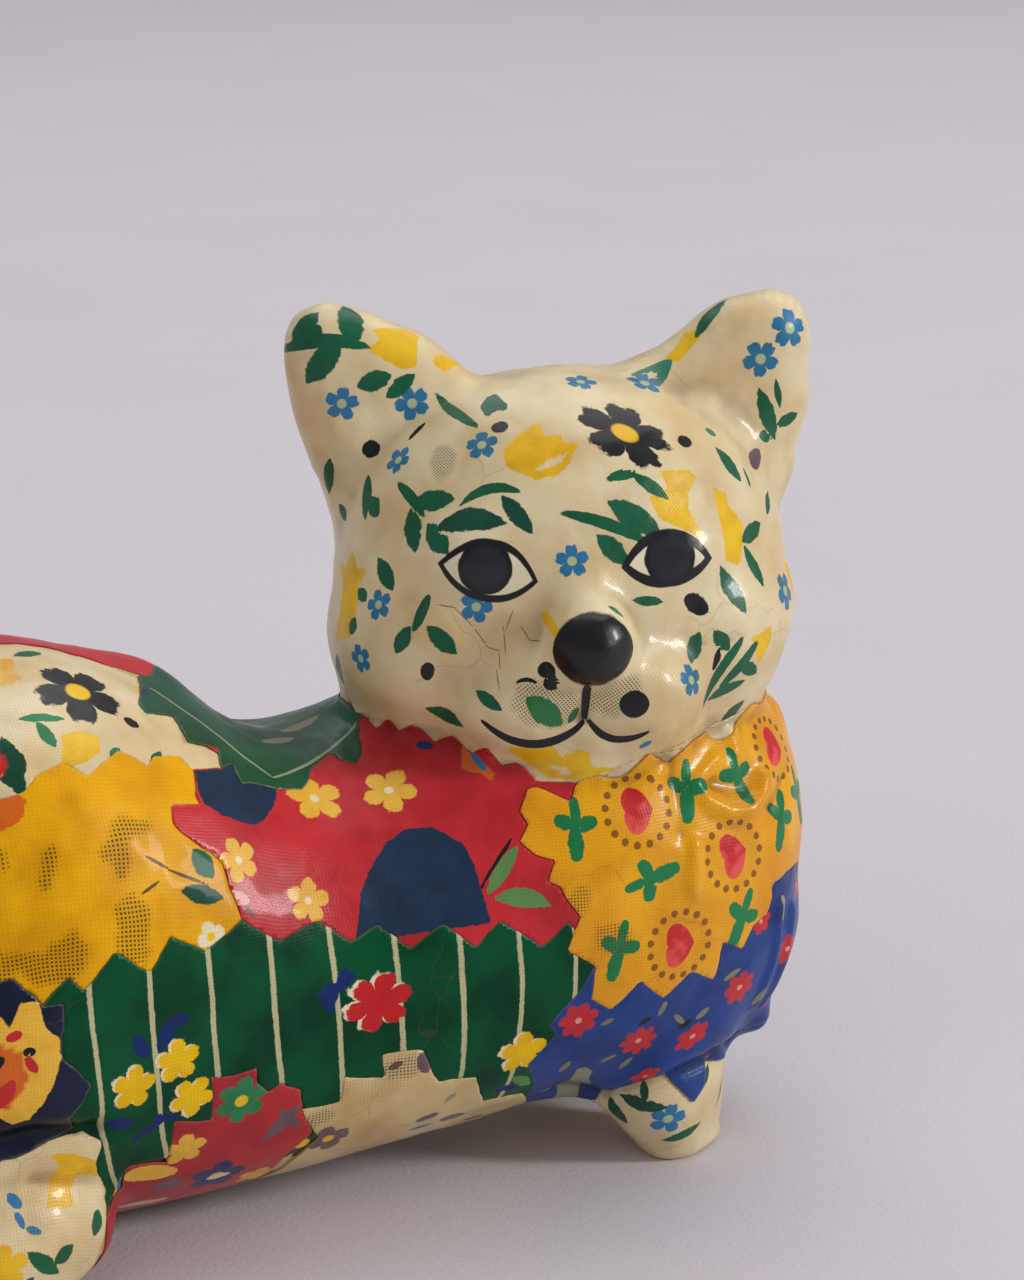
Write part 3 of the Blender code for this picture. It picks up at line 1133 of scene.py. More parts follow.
@dataclass
class Form:
    """The modelled cat before any cloth is on it."""

    folds: Sequence[Fold | Swell]
    voxel: float = 0.42
    even_rounds: int = 60
    lump: float = 0.16
    pucker: float = 0.05
    nose_radius: float = 3.72
    ear_hollow: float = 0.35

    # The unevenness of hand work: the share of its height, the width in mm and the seed
    LUMPS = ((1.0, 9.0, 1), (0.6, 4.5, 2))

    def build(self) -> Shell:
        """Makes the dense form and works its small shapes into it.

        Returns:
            The finished form, with its hollows measured.
        """
        shell = self._dense(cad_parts["cat"])
        shell.points = shell.relaxed(shell.points, self.even_rounds, -0.52)
        shell.normals = shell.facing()
        self._sculpt(shell)
        shell.normals = shell.facing()
        smooth = shell.relaxed(shell.points, 24)
        shell.hollow = ((smooth - shell.points) * shell.normals).sum(1)
        return shell

    def _dense(self, solid: bpy.types.Object) -> Shell:
        """The solid's skin as small even triangles."""
        body = bpy.data.objects.new("form", solid.data.copy())
        bpy.context.scene.collection.objects.link(body)
        joined = body.modifiers.new("Joined", "WELD")
        joined.merge_threshold = 0.01 * MM
        even = body.modifiers.new("Even", "REMESH")
        even.mode = "VOXEL"
        even.voxel_size = self.voxel * MM
        graph = bpy.context.evaluated_depsgraph_get()
        mesh = body.evaluated_get(graph).to_mesh()
        count = len(mesh.vertices)
        points = np.empty(count * 3)
        mesh.vertices.foreach_get("co", points)
        mesh.calc_loop_triangles()
        faces = np.empty(len(mesh.loop_triangles) * 3, np.int64)
        mesh.loop_triangles.foreach_get("vertices", faces)
        body.evaluated_get(graph).to_mesh_clear()
        bpy.data.objects.remove(body)
        return Shell.bare(points.reshape(-1, 3) / MM, faces.reshape(-1, 3))

    def _sculpt(self, shell: Shell) -> None:
        """Nose, face, ears, folds and the unevenness of hand work."""
        self._swell(shell, head_place(0.2, 21.0, -3.4), self.nose_radius, 0.5)
        lift = np.zeros(len(shell.points))
        for fold in self.folds:
            fold.press(shell, lift)
        for side in (-1, 1):
            inner = head_place(0.5 + side * 17.5, 3.0, 16.5)
            gap = np.linalg.norm(shell.points - inner, axis=1)
            facing = np.clip(shell.normals @ FACE.axes()[2], 0, 1)
            lift -= self.ear_hollow * (1 - ease(gap, 1.0, 8.5)) * facing
        for share, size, seed in self.LUMPS:
            lift += self.lump * share * soft_noise(shell.points, size, seed)
        ridges = 1 - np.abs(soft_noise(shell.points * (1.0, 1.0, 0.6), 3.2, 3))
        lift += self.pucker * (ridges**3 - 0.3)
        lift += self.pucker * 0.8 * soft_noise(shell.points, 1.8, 4)
        floor = ease(shell.points[:, 2], 0.2, 2.0)
        shell.points = shell.points + shell.normals * (lift * floor)[:, None]
        shell.points[:, 2] = np.maximum(shell.points[:, 2], FLOOR)

    @staticmethod
    def _swell(shell: Shell, centre: np.ndarray, radius: float, blend: float) -> None:
        """Swells the skin to a ball, with a soft joint."""
        away = shell.points - centre
        gap = np.linalg.norm(away, axis=1)
        near = gap < radius + 4 * blend
        pushed = 0.5 * (gap + radius + np.sqrt((gap - radius) ** 2 + blend**2))
        fade = 1 - ease(gap, radius + blend, radius + 4 * blend)
        grown = gap + (pushed - gap) * fade
        shell.points = np.where(
            near[:, None], centre + away * (grown / (gap + 1e-9))[:, None], shell.points
        )


@dataclass(frozen=True)
class Plane:
    """One flat cut through the form. What lies on the arrow's side is kept."""

    through: Triple
    arrow: Triple

    def field(self, points: np.ndarray) -> np.ndarray:
        """How far inside the cut the points are."""
        return (points - np.array(self.through)) @ unit(np.array(self.arrow, float))


@dataclass
class Scrap:
    """One scrap of cloth, cut out of the form's skin."""

    name: str
    sheet: Sheet
    cloth: Cloth
    layer: int
    outline: Sequence[Pair] = ()
    planes: Sequence[Plane] = ()
    motifs: Sequence[Motif] = ()
    patches: Sequence[Patch] = ()
    fray: float = 0.12
    turn_limit: float = -0.25
    depth: float = 20.0

    THICKNESS = 0.05  # mm: how far each layer stands on the one below
    TUCK = 0.35  # mm: how deep the turned edge goes
    EDGE_DROP = 0.04  # mm: how far the cut edge is pressed down
    EDGE_WIDTH = 0.5  # mm: how far in from the edge that goes
    FEWEST_FACES = 12  # with fewer there is no piece
    BLEED_OUT = 0.42  # mm: how far round a shape its coordinates are written
    NO_SHAPE = (9.0, 9.0, 0.0)  # coordinates well outside every shape

    def inside(self, shell: Shell) -> np.ndarray:
        """How far inside the scrap each point of the form is, in millimetres."""
        result = np.full(len(shell.points), WELL_INSIDE)
        if self.outline:
            flat = self.sheet.flatten(shell.points)
            thick = np.c_[flat, np.zeros(len(flat))]
            for axis in (0, 1):
                flat[:, axis] += self.fray * soft_noise(thick, 1.1, 7 + axis)
                flat[:, axis] += self.fray * 2 * soft_noise(thick, 5.0, 17 + axis)
            reach = self.sheet.covers(shell, self.turn_limit, self.depth)
            result = np.where(reach, outline_field(flat, self.outline), OUTSIDE)
        for plane in self.planes:
            result = np.minimum(result, plane.field(shell.points))
        return result

    def cut(self, shell: Shell) -> Shell:
        """Takes this scrap out of the skin and makes its piece.

        Args:
            shell: The skin that is left.

        Returns:
            The skin without this scrap.
        """
        mine, rest = shell.split(self.inside(shell))
        if len(mine.faces) < self.FEWEST_FACES:
            LOG.info("%s: nothing left to cut", self.name)
            return rest
        rim = self.inside(mine)
        height = self.layer * self.THICKNESS
        height = height - self.EDGE_DROP * (1 - ease(rim, 0.0, self.EDGE_WIDTH))
        raised = mine.points + mine.normals * height[:, None]
        raised[:, 2] = np.maximum(raised[:, 2], FLOOR)
        points, faces = self._tucked(mine, raised)
        piece = self._object(points, faces, len(mine.faces))
        self._dress(piece, mine, rim, len(points))
        LOG.info("%s: %d triangles", self.name, len(faces))
        return rest

    def _tucked(self, mine: Shell, raised: np.ndarray) -> tuple[np.ndarray, np.ndarray]:
        """Turns the scrap's edge down into the form.

        Args:
            mine: The scrap's part of the skin.
            raised: Its points at the cloth's height.

        Returns:
            All points and all faces, the turned edge last.
        """
        count = len(raised)
        edges = np.vstack([mine.faces[:, [0, 1]], mine.faces[:, [1, 2]], mine.faces[:, [2, 0]]])
        forward = edges[:, 0] * count + edges[:, 1]
        backward = edges[:, 1] * count + edges[:, 0]
        border = edges[~np.isin(forward, backward)]
        ring, number = np.unique(border, return_inverse=True)
        number = number.reshape(-1, 2) + count
        low = mine.points[ring] - mine.normals[ring] * self.TUCK
        low[:, 2] = np.maximum(low[:, 2], FLOOR)
        a, b = border.T
        below_a, below_b = number.T
        walls = np.vstack([np.stack([below_a, below_b, b], 1), np.stack([below_a, b, a], 1)])
        return np.vstack([raised, low]), np.vstack([mine.faces, walls])

    def _object(self, points: np.ndarray, faces: np.ndarray, smooth: int) -> bpy.types.Object:
        """The piece in the scene, riding on the body."""
        mesh = bpy.data.meshes.new(self.name)
        mesh.vertices.add(len(points))
        mesh.vertices.foreach_set("co", (points * MM).ravel())
        mesh.loops.add(faces.size)
        mesh.loops.foreach_set("vertex_index", faces.ravel())
        mesh.polygons.add(len(faces))
        mesh.polygons.foreach_set("loop_start", np.arange(0, faces.size, 3))
        mesh.update(calc_edges=True)
        mesh.polygons.foreach_set("use_smooth", np.arange(len(faces)) < smooth)
        piece = bpy.data.objects.new(self.name, mesh)
        bpy.context.scene.collection.objects.link(piece)
        made = bpy.data.materials.get(self.cloth.name)
        mesh.materials.append(made or self.cloth.material())
        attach(piece, "root")
        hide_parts("cat")
        return piece

    def _dress(self, piece: bpy.types.Object, mine: Shell, rim: np.ndarray, count: int) -> None:
        """Gives the mesh what its cloth's shader reads."""
        mesh = piece.data
        flat = self.sheet.flatten(mine.points)
        reach = self.sheet.covers(mine, self.turn_limit, self.depth)
        depth, gap, inks = self._patched(flat, reach)
        edge = np.zeros(count - len(rim))
        self._write(mesh, "rim", "FLOAT", np.append(rim, edge))
        self._write(mesh, "hollow", "FLOAT", np.append(mine.hollow, edge))
        self._write(mesh, "patch", "FLOAT", np.append(depth, edge + OUTSIDE))
        self._write(mesh, "open", "FLOAT", np.append(gap, edge + OUTSIDE))
        self._write(mesh, "patch_ink", "FLOAT_COLOR", np.pad(inks, ((0, len(edge)), (0, 0))))
        self._write(mesh, "thread", "FLOAT_VECTOR", np.pad(flat, ((0, len(edge)), (0, 1))))
        for layer in Layer:
            self._stamp(mesh, mine, flat, reach, layer)

    @staticmethod
    def _write(mesh: bpy.types.Mesh, name: str, kind: str, values: np.ndarray) -> None:
        """Gives the mesh one attribute: on its points, or on its corners where there is a row each."""
        place = "CORNER" if values.ndim == 3 else "POINT"
        read = {"FLOAT": "value", "FLOAT_COLOR": "color", "FLOAT_VECTOR": "vector"}[kind]
        mesh.attributes.new(name, kind, place).data.foreach_set(read, values.ravel())

    def _patched(self, flat: np.ndarray, reach: np.ndarray) -> tuple[np.ndarray, ...]:
        """Measures the patches on the scrap.

        Args:
            flat: The scrap's points on the sheet.
            reach: Which of them the sheet covers.

        Returns:
            How far inside a printed patch and inside an open place each point is, and the ink.
        """
        depth, gap = np.full(len(flat), OUTSIDE), np.full(len(flat), OUTSIDE)
        inks = np.zeros((len(flat), 4))
        for patch in self.patches:
            inside = np.where(reach, outline_field(flat, patch.outline), OUTSIDE)
            if patch.ink is None:
                gap = np.maximum(gap, inside)
                continue
            closer = (inside > depth) | (inside > 0)
            depth[closer] = inside[closer]
            inks[closer] = linear(patch.ink)
        return depth, gap, inks

    def _stamp(
        self, mesh: bpy.types.Mesh, mine: Shell, flat: np.ndarray, reach: np.ndarray, layer: Layer
    ) -> None:
        """Writes each shape's own coordinates on the faces that it touches.

        Args:
            mesh: The piece's mesh, with the scrap's faces first.
            mine: The scrap's part of the skin.
            flat: Its points on the sheet.
            reach: Which of them the sheet covers.
            layer: The kind of shape that is written.
        """
        corners = np.full((len(mesh.polygons), 3, 3), self.NO_SHAPE)
        inks = np.zeros((len(mesh.polygons), 3, 4))
        eyes = inks.copy()
        centres = mine.points[mine.faces].mean(1)
        facing = mine.normals[mine.faces[:, 0]]
        best = np.full(len(mine.faces), self.BLEED_OUT)
        for motif in (motif for motif in self.motifs if motif.layer is layer):
            middle, along, over, out = self.sheet.locate(mine, flat, reach, motif.u, motif.v)
            angle = math.radians(motif.turn)
            x_way = along * math.cos(angle) + over * math.sin(angle)
            y_way = over * math.cos(angle) - along * math.sin(angle)
            size = max(motif.length, motif.width) + motif.margin
            away = centres - middle
            near = np.linalg.norm(away, axis=1) < size * 1.5 + 3.0  # its corners and a face more
            near &= (facing @ out > 0.15) & (np.abs(away @ out) < size * 0.7 + 2.0)  # its own side
            chosen = np.flatnonzero(near)
            x, y = self._local(away[chosen], motif, x_way, y_way)
            gap = np.maximum(np.abs(x) - motif.length, np.abs(y) - motif.width) - motif.margin
            better = gap < best[chosen]
            chosen = chosen[better]
            best[chosen] = gap[better]
            spots = mine.points[mine.faces[chosen]].reshape(-1, 3) - middle
            x, y = self._local(spots, motif, x_way, y_way)
            scaled = [x / motif.length, y / motif.width, np.full(len(x), motif.detail)]
            corners[chosen] = np.stack(scaled, 1).reshape(-1, 3, 3)
            inks[chosen] = linear(motif.ink)
            eyes[chosen] = linear(motif.eye or self.cloth.flower_eye)
        self._write(mesh, layer.value, "FLOAT_VECTOR", corners)
        if layer in (Layer.BOLD, Layer.FINE):
            self._write(mesh, layer.value + "_ink", "FLOAT_COLOR", inks)
        if layer is Layer.BOLD:
            self._write(mesh, "bold_eye", "FLOAT_COLOR", eyes)

    @staticmethod
    def _local(
        away: np.ndarray, motif: Motif, x_way: np.ndarray, y_way: np.ndarray
    ) -> tuple[np.ndarray, np.ndarray]:
        """Places from a shape's middle along its own bent axes, in millimetres."""
        x, y = away @ x_way, away @ y_way
        return x, y - motif.bend * (1 - np.minimum((x / motif.length) ** 2, 1.5))


def eye_mark(u: float, v: float, fall: float, turn: float) -> Motif:
    """One painted eye. Fall is the lower lid's share of its full drop."""
    return Motif(Layer.MARK, u, v, 1.0, 1.0, turn, fall, margin=5.0)


def heart(u: float, v: float, length: float, width: float, turn: float) -> Motif:
    """One heart in its ring of dots, point down before it is turned."""
    return Motif(Layer.MARK, u, v, length, width, turn, width / length, margin=1.6)


def stroke(
    u: float, v: float, length: float, width: float, turn: float, bend: float = 0, blunt: float = 0.3
) -> Motif:
    """One black brush stroke."""
    return Motif(Layer.PAINT, u, v, length, width, turn, blunt, Ink.BLACK, bend)


@dataclass
class HeadCloths:
    """The sprigged cream cotton on the head, front and back, and the painted face."""

    def brow_sprigs(self) -> list[Motif]:
        """The leaves over the eyes and on the forehead."""
        return [
            *each(leaf, [
                (-15.9, 14.8, 2.5, 1.2, -14), (-18.2, 11.2, 2.4, 1.15, -92),
                (-15.1, 10.4, 2.2, 1.2, -66), (6.7, 12.2, 3.2, 1.35, -33), (4, 9.2, 2.2, 1.1, -45),
                (9, 15.4, 2.3, 0.75, -35), (21.9, 17.4, 2.2, 1.2, -41), (27.2, 41.9, 2.8, 0.8, 34),
            ]),
            *each(leaf, [
                (-11.5, 12, 3.6, 1.35, -8, 0.5), (-6.3, 13.2, 2.5, 0.95, -58),
            ], ink=Ink.DEEP_LEAF),
            dot(25.4, 15.6, 1.1, 0.35, -70, ink=Ink.LEAF),
        ]

    def blossoms(self) -> list[Motif]:
        """The blossoms on the forehead, the crown and the cheeks."""
        black = Motif(Layer.BOLD, 7.3, 21.9, 5.4, 3.9, 149, 5.14, Ink.BLACK, eye=Ink.YELLOW)
        small = (
            (-10, 21.3, 1.75, 10), (-21.3, 20.3, 1.6, 30), (4.2, 30.5, 1.7, 0), (14.5, 30.5, 1.95, 18),
            (-0.7, 8.4, 1.75, 18), (-11.2, 3.2, 1.75, 0), (-29.7, 28.6, 1.8, 10),
            (-19.9, 28.9, 1.9, 40), (38.2, 39.2, 2.1, 15), (31.8, 32.9, 2, 50), (-22, 2.4, 1.6, 20),
            (-24.2, -4.3, 1.6, 50), (27.5, 1.2, 2.1, 0), (11.4, -5.2, 1.7, 30),
        )
        spots = [
            *each(dot, [
                (-7.7, 23.6, 0.85, 0.8), (15.1, 20.5, 0.9, 0.8, 20), (-25.9, 22.3, 0.95, 0.95),
                (-18.9, 24.6, 1.2, 0.35, 25), (-15.9, -4.1, 0.95, 0.75, 80),
                (13.4, 2.2, 1.5, 1.05, -35), (15.3, -3.9, 1.2, 0.4, -110),
            ]),
            dot(29.3, 18.2, 1.2, 1, 60, ink=Ink.MAUVE),
            dot(21.2, 22.1, 0.7, 0.55, ink=Ink.TEAL),
            dot(6.4, -11, 0.7, 0.4, 30, ink=Ink.BLUE),
        ]
        return [black, *spots, *(forget_me_not(*place) for place in small)]

    def yellow_shapes(self) -> list[Patch]:
        """The tulip and the other yellow shapes, and the dark bean of a leaf."""
        tulip = [
            (-7, 18.3), (-7.5, 19.7), (-7, 20.9), (-5.4, 22.4), (-2.8, 24), (-2.4, 22), (-0.4, 22),
            (-0.3, 20.8), (1.4, 21), (-0.1, 18.3), (-1.5, 17.2), (-4, 16.8),
        ]
        right = [
            (10.3, 17), (14.5, 16.9), (15.2, 15.9), (13.6, 14.1), (13.2, 12.6), (13.7, 10.7),
            (14.7, 8.7), (9.4, 11.9), (8.6, 14.3), (11.2, 15.1),
        ]
        ear = [
            (-26, 40.4), (-21.3, 41), (-19.3, 39.8), (-19, 34.1), (-21, 33.5), (-23.3, 34.7),
            (-26.1, 36.5), (-24.4, 38.2),
        ]
        cheek = [
            (-27.8, 8.1), (-26.1, 5.9), (-24.3, 6.2), (-25.5, 4), (-25.1, 1), (-26, -2.3),
            (-29.3, -4.1), (-28.4, 0.1), (-28.4, 3.3), (-31.8, 5.7), (-29.1, 5.8),
        ]
        chin = [
            (-7.6, -10.7), (-4.8, -10.3), (-3.1, -10.3), (-2, -11.9), (-0.5, -11), (0.7, -11.4),
            (1.1, -13.2), (4.1, -13.7), (-0.3, -14.7), (-3.3, -14.4), (-5.8, -12.4),
        ]
        second = [
            (17.4, 14.8), (19.5, 13.9), (19.5, 12.3), (21.5, 10.1), (20.8, 7.8), (19.6, 5.6),
            (17.4, 6.3), (17.3, 9.7),
        ]
        wing = [(23.4, 39.1), (24.9, 38.7), (24.5, 37.5), (20.5, 33.5), (19, 34.6), (20.6, 35.9)]
        bean = [
            (-10.1, 27), (-9.2, 28.7), (-8, 29.4), (-6.4, 26.9), (-6.7, 25.9), (-8.1, 26.2), (-9.3, 25),
        ]
        cheek_end = [(29.4, 4.2), (31.6, 3.4), (31.8, 0.6), (30.4, -0.4), (29.6, 1.6)]
        shapes = [tulip, right, ear, cheek, chin, second, wing, cheek_end]
        shapes += [
            [(-17, 36), (-15.6, 37.1), (-13.2, 36.7), (-15.1, 33.9), (-16.7, 34.5)],
            [(23.1, -1.7), (19.7, -2.3), (21, -5.6), (23.2, -3.3)],
            [(-4.8, 3.1), (-3.9, 3.4), (-2.2, 1.3), (-2.6, 0.6), (-4.2, 1.8)],
        ]
        streaks = [
            [(-3.9, 17.9), (-2.2, 19.2), (-0.2, 19.7), (-0.8, 18.8), (-2.5, 18)],
            [(-3.4, -12.8), (-2.1, -13.1), (-0.5, -14.2), (-2, -13.8)],
        ]
        result = [Patch(shape, Ink.YELLOW) for shape in shapes]
        return result + [Patch(shape, Ink.PALE) for shape in streaks] + [Patch(bean, Ink.LEAF)]

    def stems(self) -> list[Motif]:
        """The thick stems of the sprigs, and a stroke of teal."""
        return [
            *each(brushed, [
                ((-20.1, 17.3), (-17.6, 12.8), 0.6, 0.2), ((-0.9, 13), (7.4, 9.9), 0.65, 0.4),
                ((-12, 14.8), (-6.3, 15), 0.6, 1), ((4.4, 16.3), (8.8, 17.2), 0.6, 0.2),
                ((-14.6, 30.3), (-11.8, 23.6), 0.6, -0.3), ((-17.7, 0.5), (-15.9, 3.8), 0.55),
                ((-37.4, 36.8), (-28.8, 37), 0.75, 1), ((13.9, -8.6), (18.6, -2.5), 0.6, 0.5),
                ((16.2, -7.2), (20.6, -3.3), 0.65),
            ]),
            *each(brushed, [
                ((14.7, 32.6), (18.9, 34), 0.6, 0), ((18.9, 33.6), (16.4, 30), 0.6, 0),
            ], ink=Ink.TEAL),
        ]

    def ear_leaves(self) -> list[Motif]:
        """The leaves on the two ears and the temples."""
        return each(leaf, [
            (-32.6, 35.4, 2.9, 1.35, -127), (-29.8, 42.3, 2.6, 1.4, 96), (-38.5, 44, 2.1, 1.3, 40),
            (-36, 41.5, 1.8, 0.95, 120), (-24.9, 31.7, 1.9, 1.1, 18), (-21.5, 31.2, 1.9, 0.9, 37),
            (-33.1, 18.7, 2.1, 0.75, -90), (-26, 15.5, 2.5, 0.85, -108), (-24.4, 14, 1.5, 0.95, -75),
            (-31.1, 13.3, 1.1, 0.7, -55), (32.4, 24.6, 2.9, 0.95, -72), (36.1, 23.8, 1.5, 0.7, 20),
            (32.3, 21.4, 1, 0.7, -5), (34.3, 27.5, 1.6, 0.4, 100), (29.1, 11.9, 1.9, 0.5, -111),
        ])

    def cheek_leaves(self) -> list[Motif]:
        """The leaves on the cheeks and round the muzzle."""
        return [
            *each(leaf, [
                (-21.7, 5.9, 2.1, 0.95, -72), (-24.5, 3.1, 1, 0.7, -60), (-25.6, -0.8, 1, 0.7, 60),
                (-18.7, -0.9, 1.6, 0.85, 57), (-14.5, -0.6, 2, 1, -44), (-9.3, -5.9, 1.7, 0.7, -36),
                (-13.8, -9.2, 2.3, 0.9, 0), (-1, -7.4, 1, 0.5, 52), (8, 3.4, 1.8, 0.55, -7),
                (17.9, 3.1, 2.9, 1, -54), (23, 8.9, 2.4, 0.95, 31), (21.9, 5.1, 2.4, 0.8, -56),
                (12.7, -2.4, 1.7, 0.9, 68), (15.9, -2, 1.4, 0.85, -52), (19.7, -5.9, 1.5, 0.8, -38),
                (16.9, -8, 2.4, 0.75, 8), (19.2, -12, 1.8, 0.9, 40),
            ]),
            leaf(-28.8, -8, 1.9, 0.9, -60, ink=Ink.DEEP_LEAF),
            *each(leaf, [(-3.9, -6.7, 2.4, 1.3, -41), (3.1, 3, 1, 0.4, -20)], ink=Ink.GREEN),
        ]

    def hair_cracks(self) -> list[Motif]:
        """Three hair cracks in the old varnish on one cheek."""
        paths = [
            [(-15, 3.2), (-13.4, 2.9), (-11.7, 1.1), (-10.1, -1.2), (-8.8, -1.7)],
            [(-7.7, 2.8), (-8.5, 0.8), (-8.4, -1.7), (-8.5, -3.2), (-8.4, -5)],
            [(-7, 1.2), (-6.2, -0.1), (-4.7, -0.5)],
        ]
        lines = []
        for path in paths:
            for (u, v), (far_u, far_v) in zip(path, path[1:]):
                length, turn = math.hypot(far_u - u, far_v - v) / 2, math.atan2(far_v - v, far_u - u)
                middle = (u + far_u) / 2, (v + far_v) / 2
                lines.append(dot(*middle, length * 1.2, 0.06, math.degrees(turn), Ink.OCHRE))
        return lines

    def paint(self) -> list[Motif]:
        """The eyes, the nose, the dots beside it and the mouth."""
        return [
            eye_mark(-9.6, 6.85, 0.86, -9.5),
            eye_mark(10, 7.1, 0.72, 1.8),
            *each(stroke, [
                (1.2, 1.3, 3.75, 3.6, 0, 0, 0.5), (-3.6, -2.7, 1, 0.85, 10, 0, 0.5),
                (4.9, -6.3, 1.45, 1.4, 0, 0, 0.5), (-3.1, -3.8, 0.95, 0.8, 30, 0, 0.5),
                (-5.6, -4, 1, 0.22, -4, 0.3), (0.35, -5.2, 3, 0.48, 88, 0.1),
                (-4.6, -8, 4.95, 0.5, 0, -2.1, 0.25), (3.4, -8.6, 3.2, 0.48, -15, -1.5, 0.25),
            ]),
        ]

    def open_places(self) -> list[Patch]:
        """Where the threads show round the muzzle and over the brow."""
        return [
            opened(-3.6, -6.1, 3.6, 2.3, -12),
            opened(3.1, -5.5, 2.9, 2, 25),
            opened(-14.8, 19.6, 1.8, 2.2),
        ]

    def scraps(self) -> list[Scrap]:
        """The head's cloths, the face first.

        Returns:
            The scraps, in the order that they are cut.
        """
        front = Plane(tuple(head_place(0, -6.5, 0)), FACE.facing)
        jaw = [
            (-29.5, -9.5), (-28.5, -11), (-26.6, -13.6), (-25.3, -13.2), (-22.7, -13.7), (-21, -12),
            (-19.4, -13.1), (-17.7, -11.8), (-15.2, -13.1), (-13.2, -11.7), (-10.9, -12.8),
            (-9.4, -11.3), (-8, -13.3), (-6.3, -12.8), (-4.6, -14.6), (1, -14.9), (6.7, -12.6),
            (14.9, -13), (22.8, -12.2), (26, -9.5), (34, -7), (60, 10), (60, 60), (-60, 60), (-60, 5),
            (-34, -7),
        ]
        nape = (Plane((12, 0, 47), (1, 0, 0.4)), Plane((30, 0, 46), (0.1, 0, 1)))
        motifs = self.brow_sprigs() + self.blossoms() + self.ear_leaves() + self.cheek_leaves()
        motifs += self.stems() + self.hair_cracks() + self.paint()
        patches = self.yellow_shapes() + self.open_places()
        return [
            Scrap(
                "face_cloth", FACE, FACE_CLOTH, 3, jaw, (front,), motifs, patches, depth=44,
                turn_limit=-0.6,
            ),
            Scrap("nape_cloth", NAPE, CREAM_CLOTH, 2, (), nape, scattered(34, 3), depth=44),
        ]


def scattered(reach: float, seed: int, inks: Iterable[Ink] = ()) -> list[Motif]:
    """A plain all-over print of flowers with two leaves, for the sides that are seldom seen.

    Args:
        reach: How far from the sheet's centre it goes, in millimetres.
        seed: Which scattering it is.
        inks: The blossoms' colours.

    Returns:
        The shapes, on a shaken grid.
    """
    pitch, shake = 8.4, 1.2
    wide, small = 3.2, 2.0
    leaf_size, leaf_tilt = (1.9, 0.75), 25
    dice = np.random.default_rng(seed)
    colours = list(inks) or [Ink.BLUE, Ink.YELLOW, Ink.BLUE, Ink.BLACK]
    shapes: list[Motif] = []
    count = int(reach // pitch)
    for row, column in itertools.product(range(-count, count + 1), repeat=2):
        u, v = np.array((column + 0.5 * (row % 2), row)) * pitch + dice.uniform(-shake, shake, 2)
        pick = int(dice.integers(len(colours)))
        turn = float(dice.uniform(0, 360))
        radius = wide if colours[pick] in (Ink.BLACK, Ink.YELLOW) else small
        shapes.append(flower(u, v, radius, 5 + pick % 2, turn, colours[pick]))
        for swing in (130, 215):
            shift = turned((radius + leaf_size[0], 0), turn + swing)
            shapes.append(leaf(u + shift[0], v + shift[1], *leaf_size, turn + swing + leaf_tilt))
    return shapes


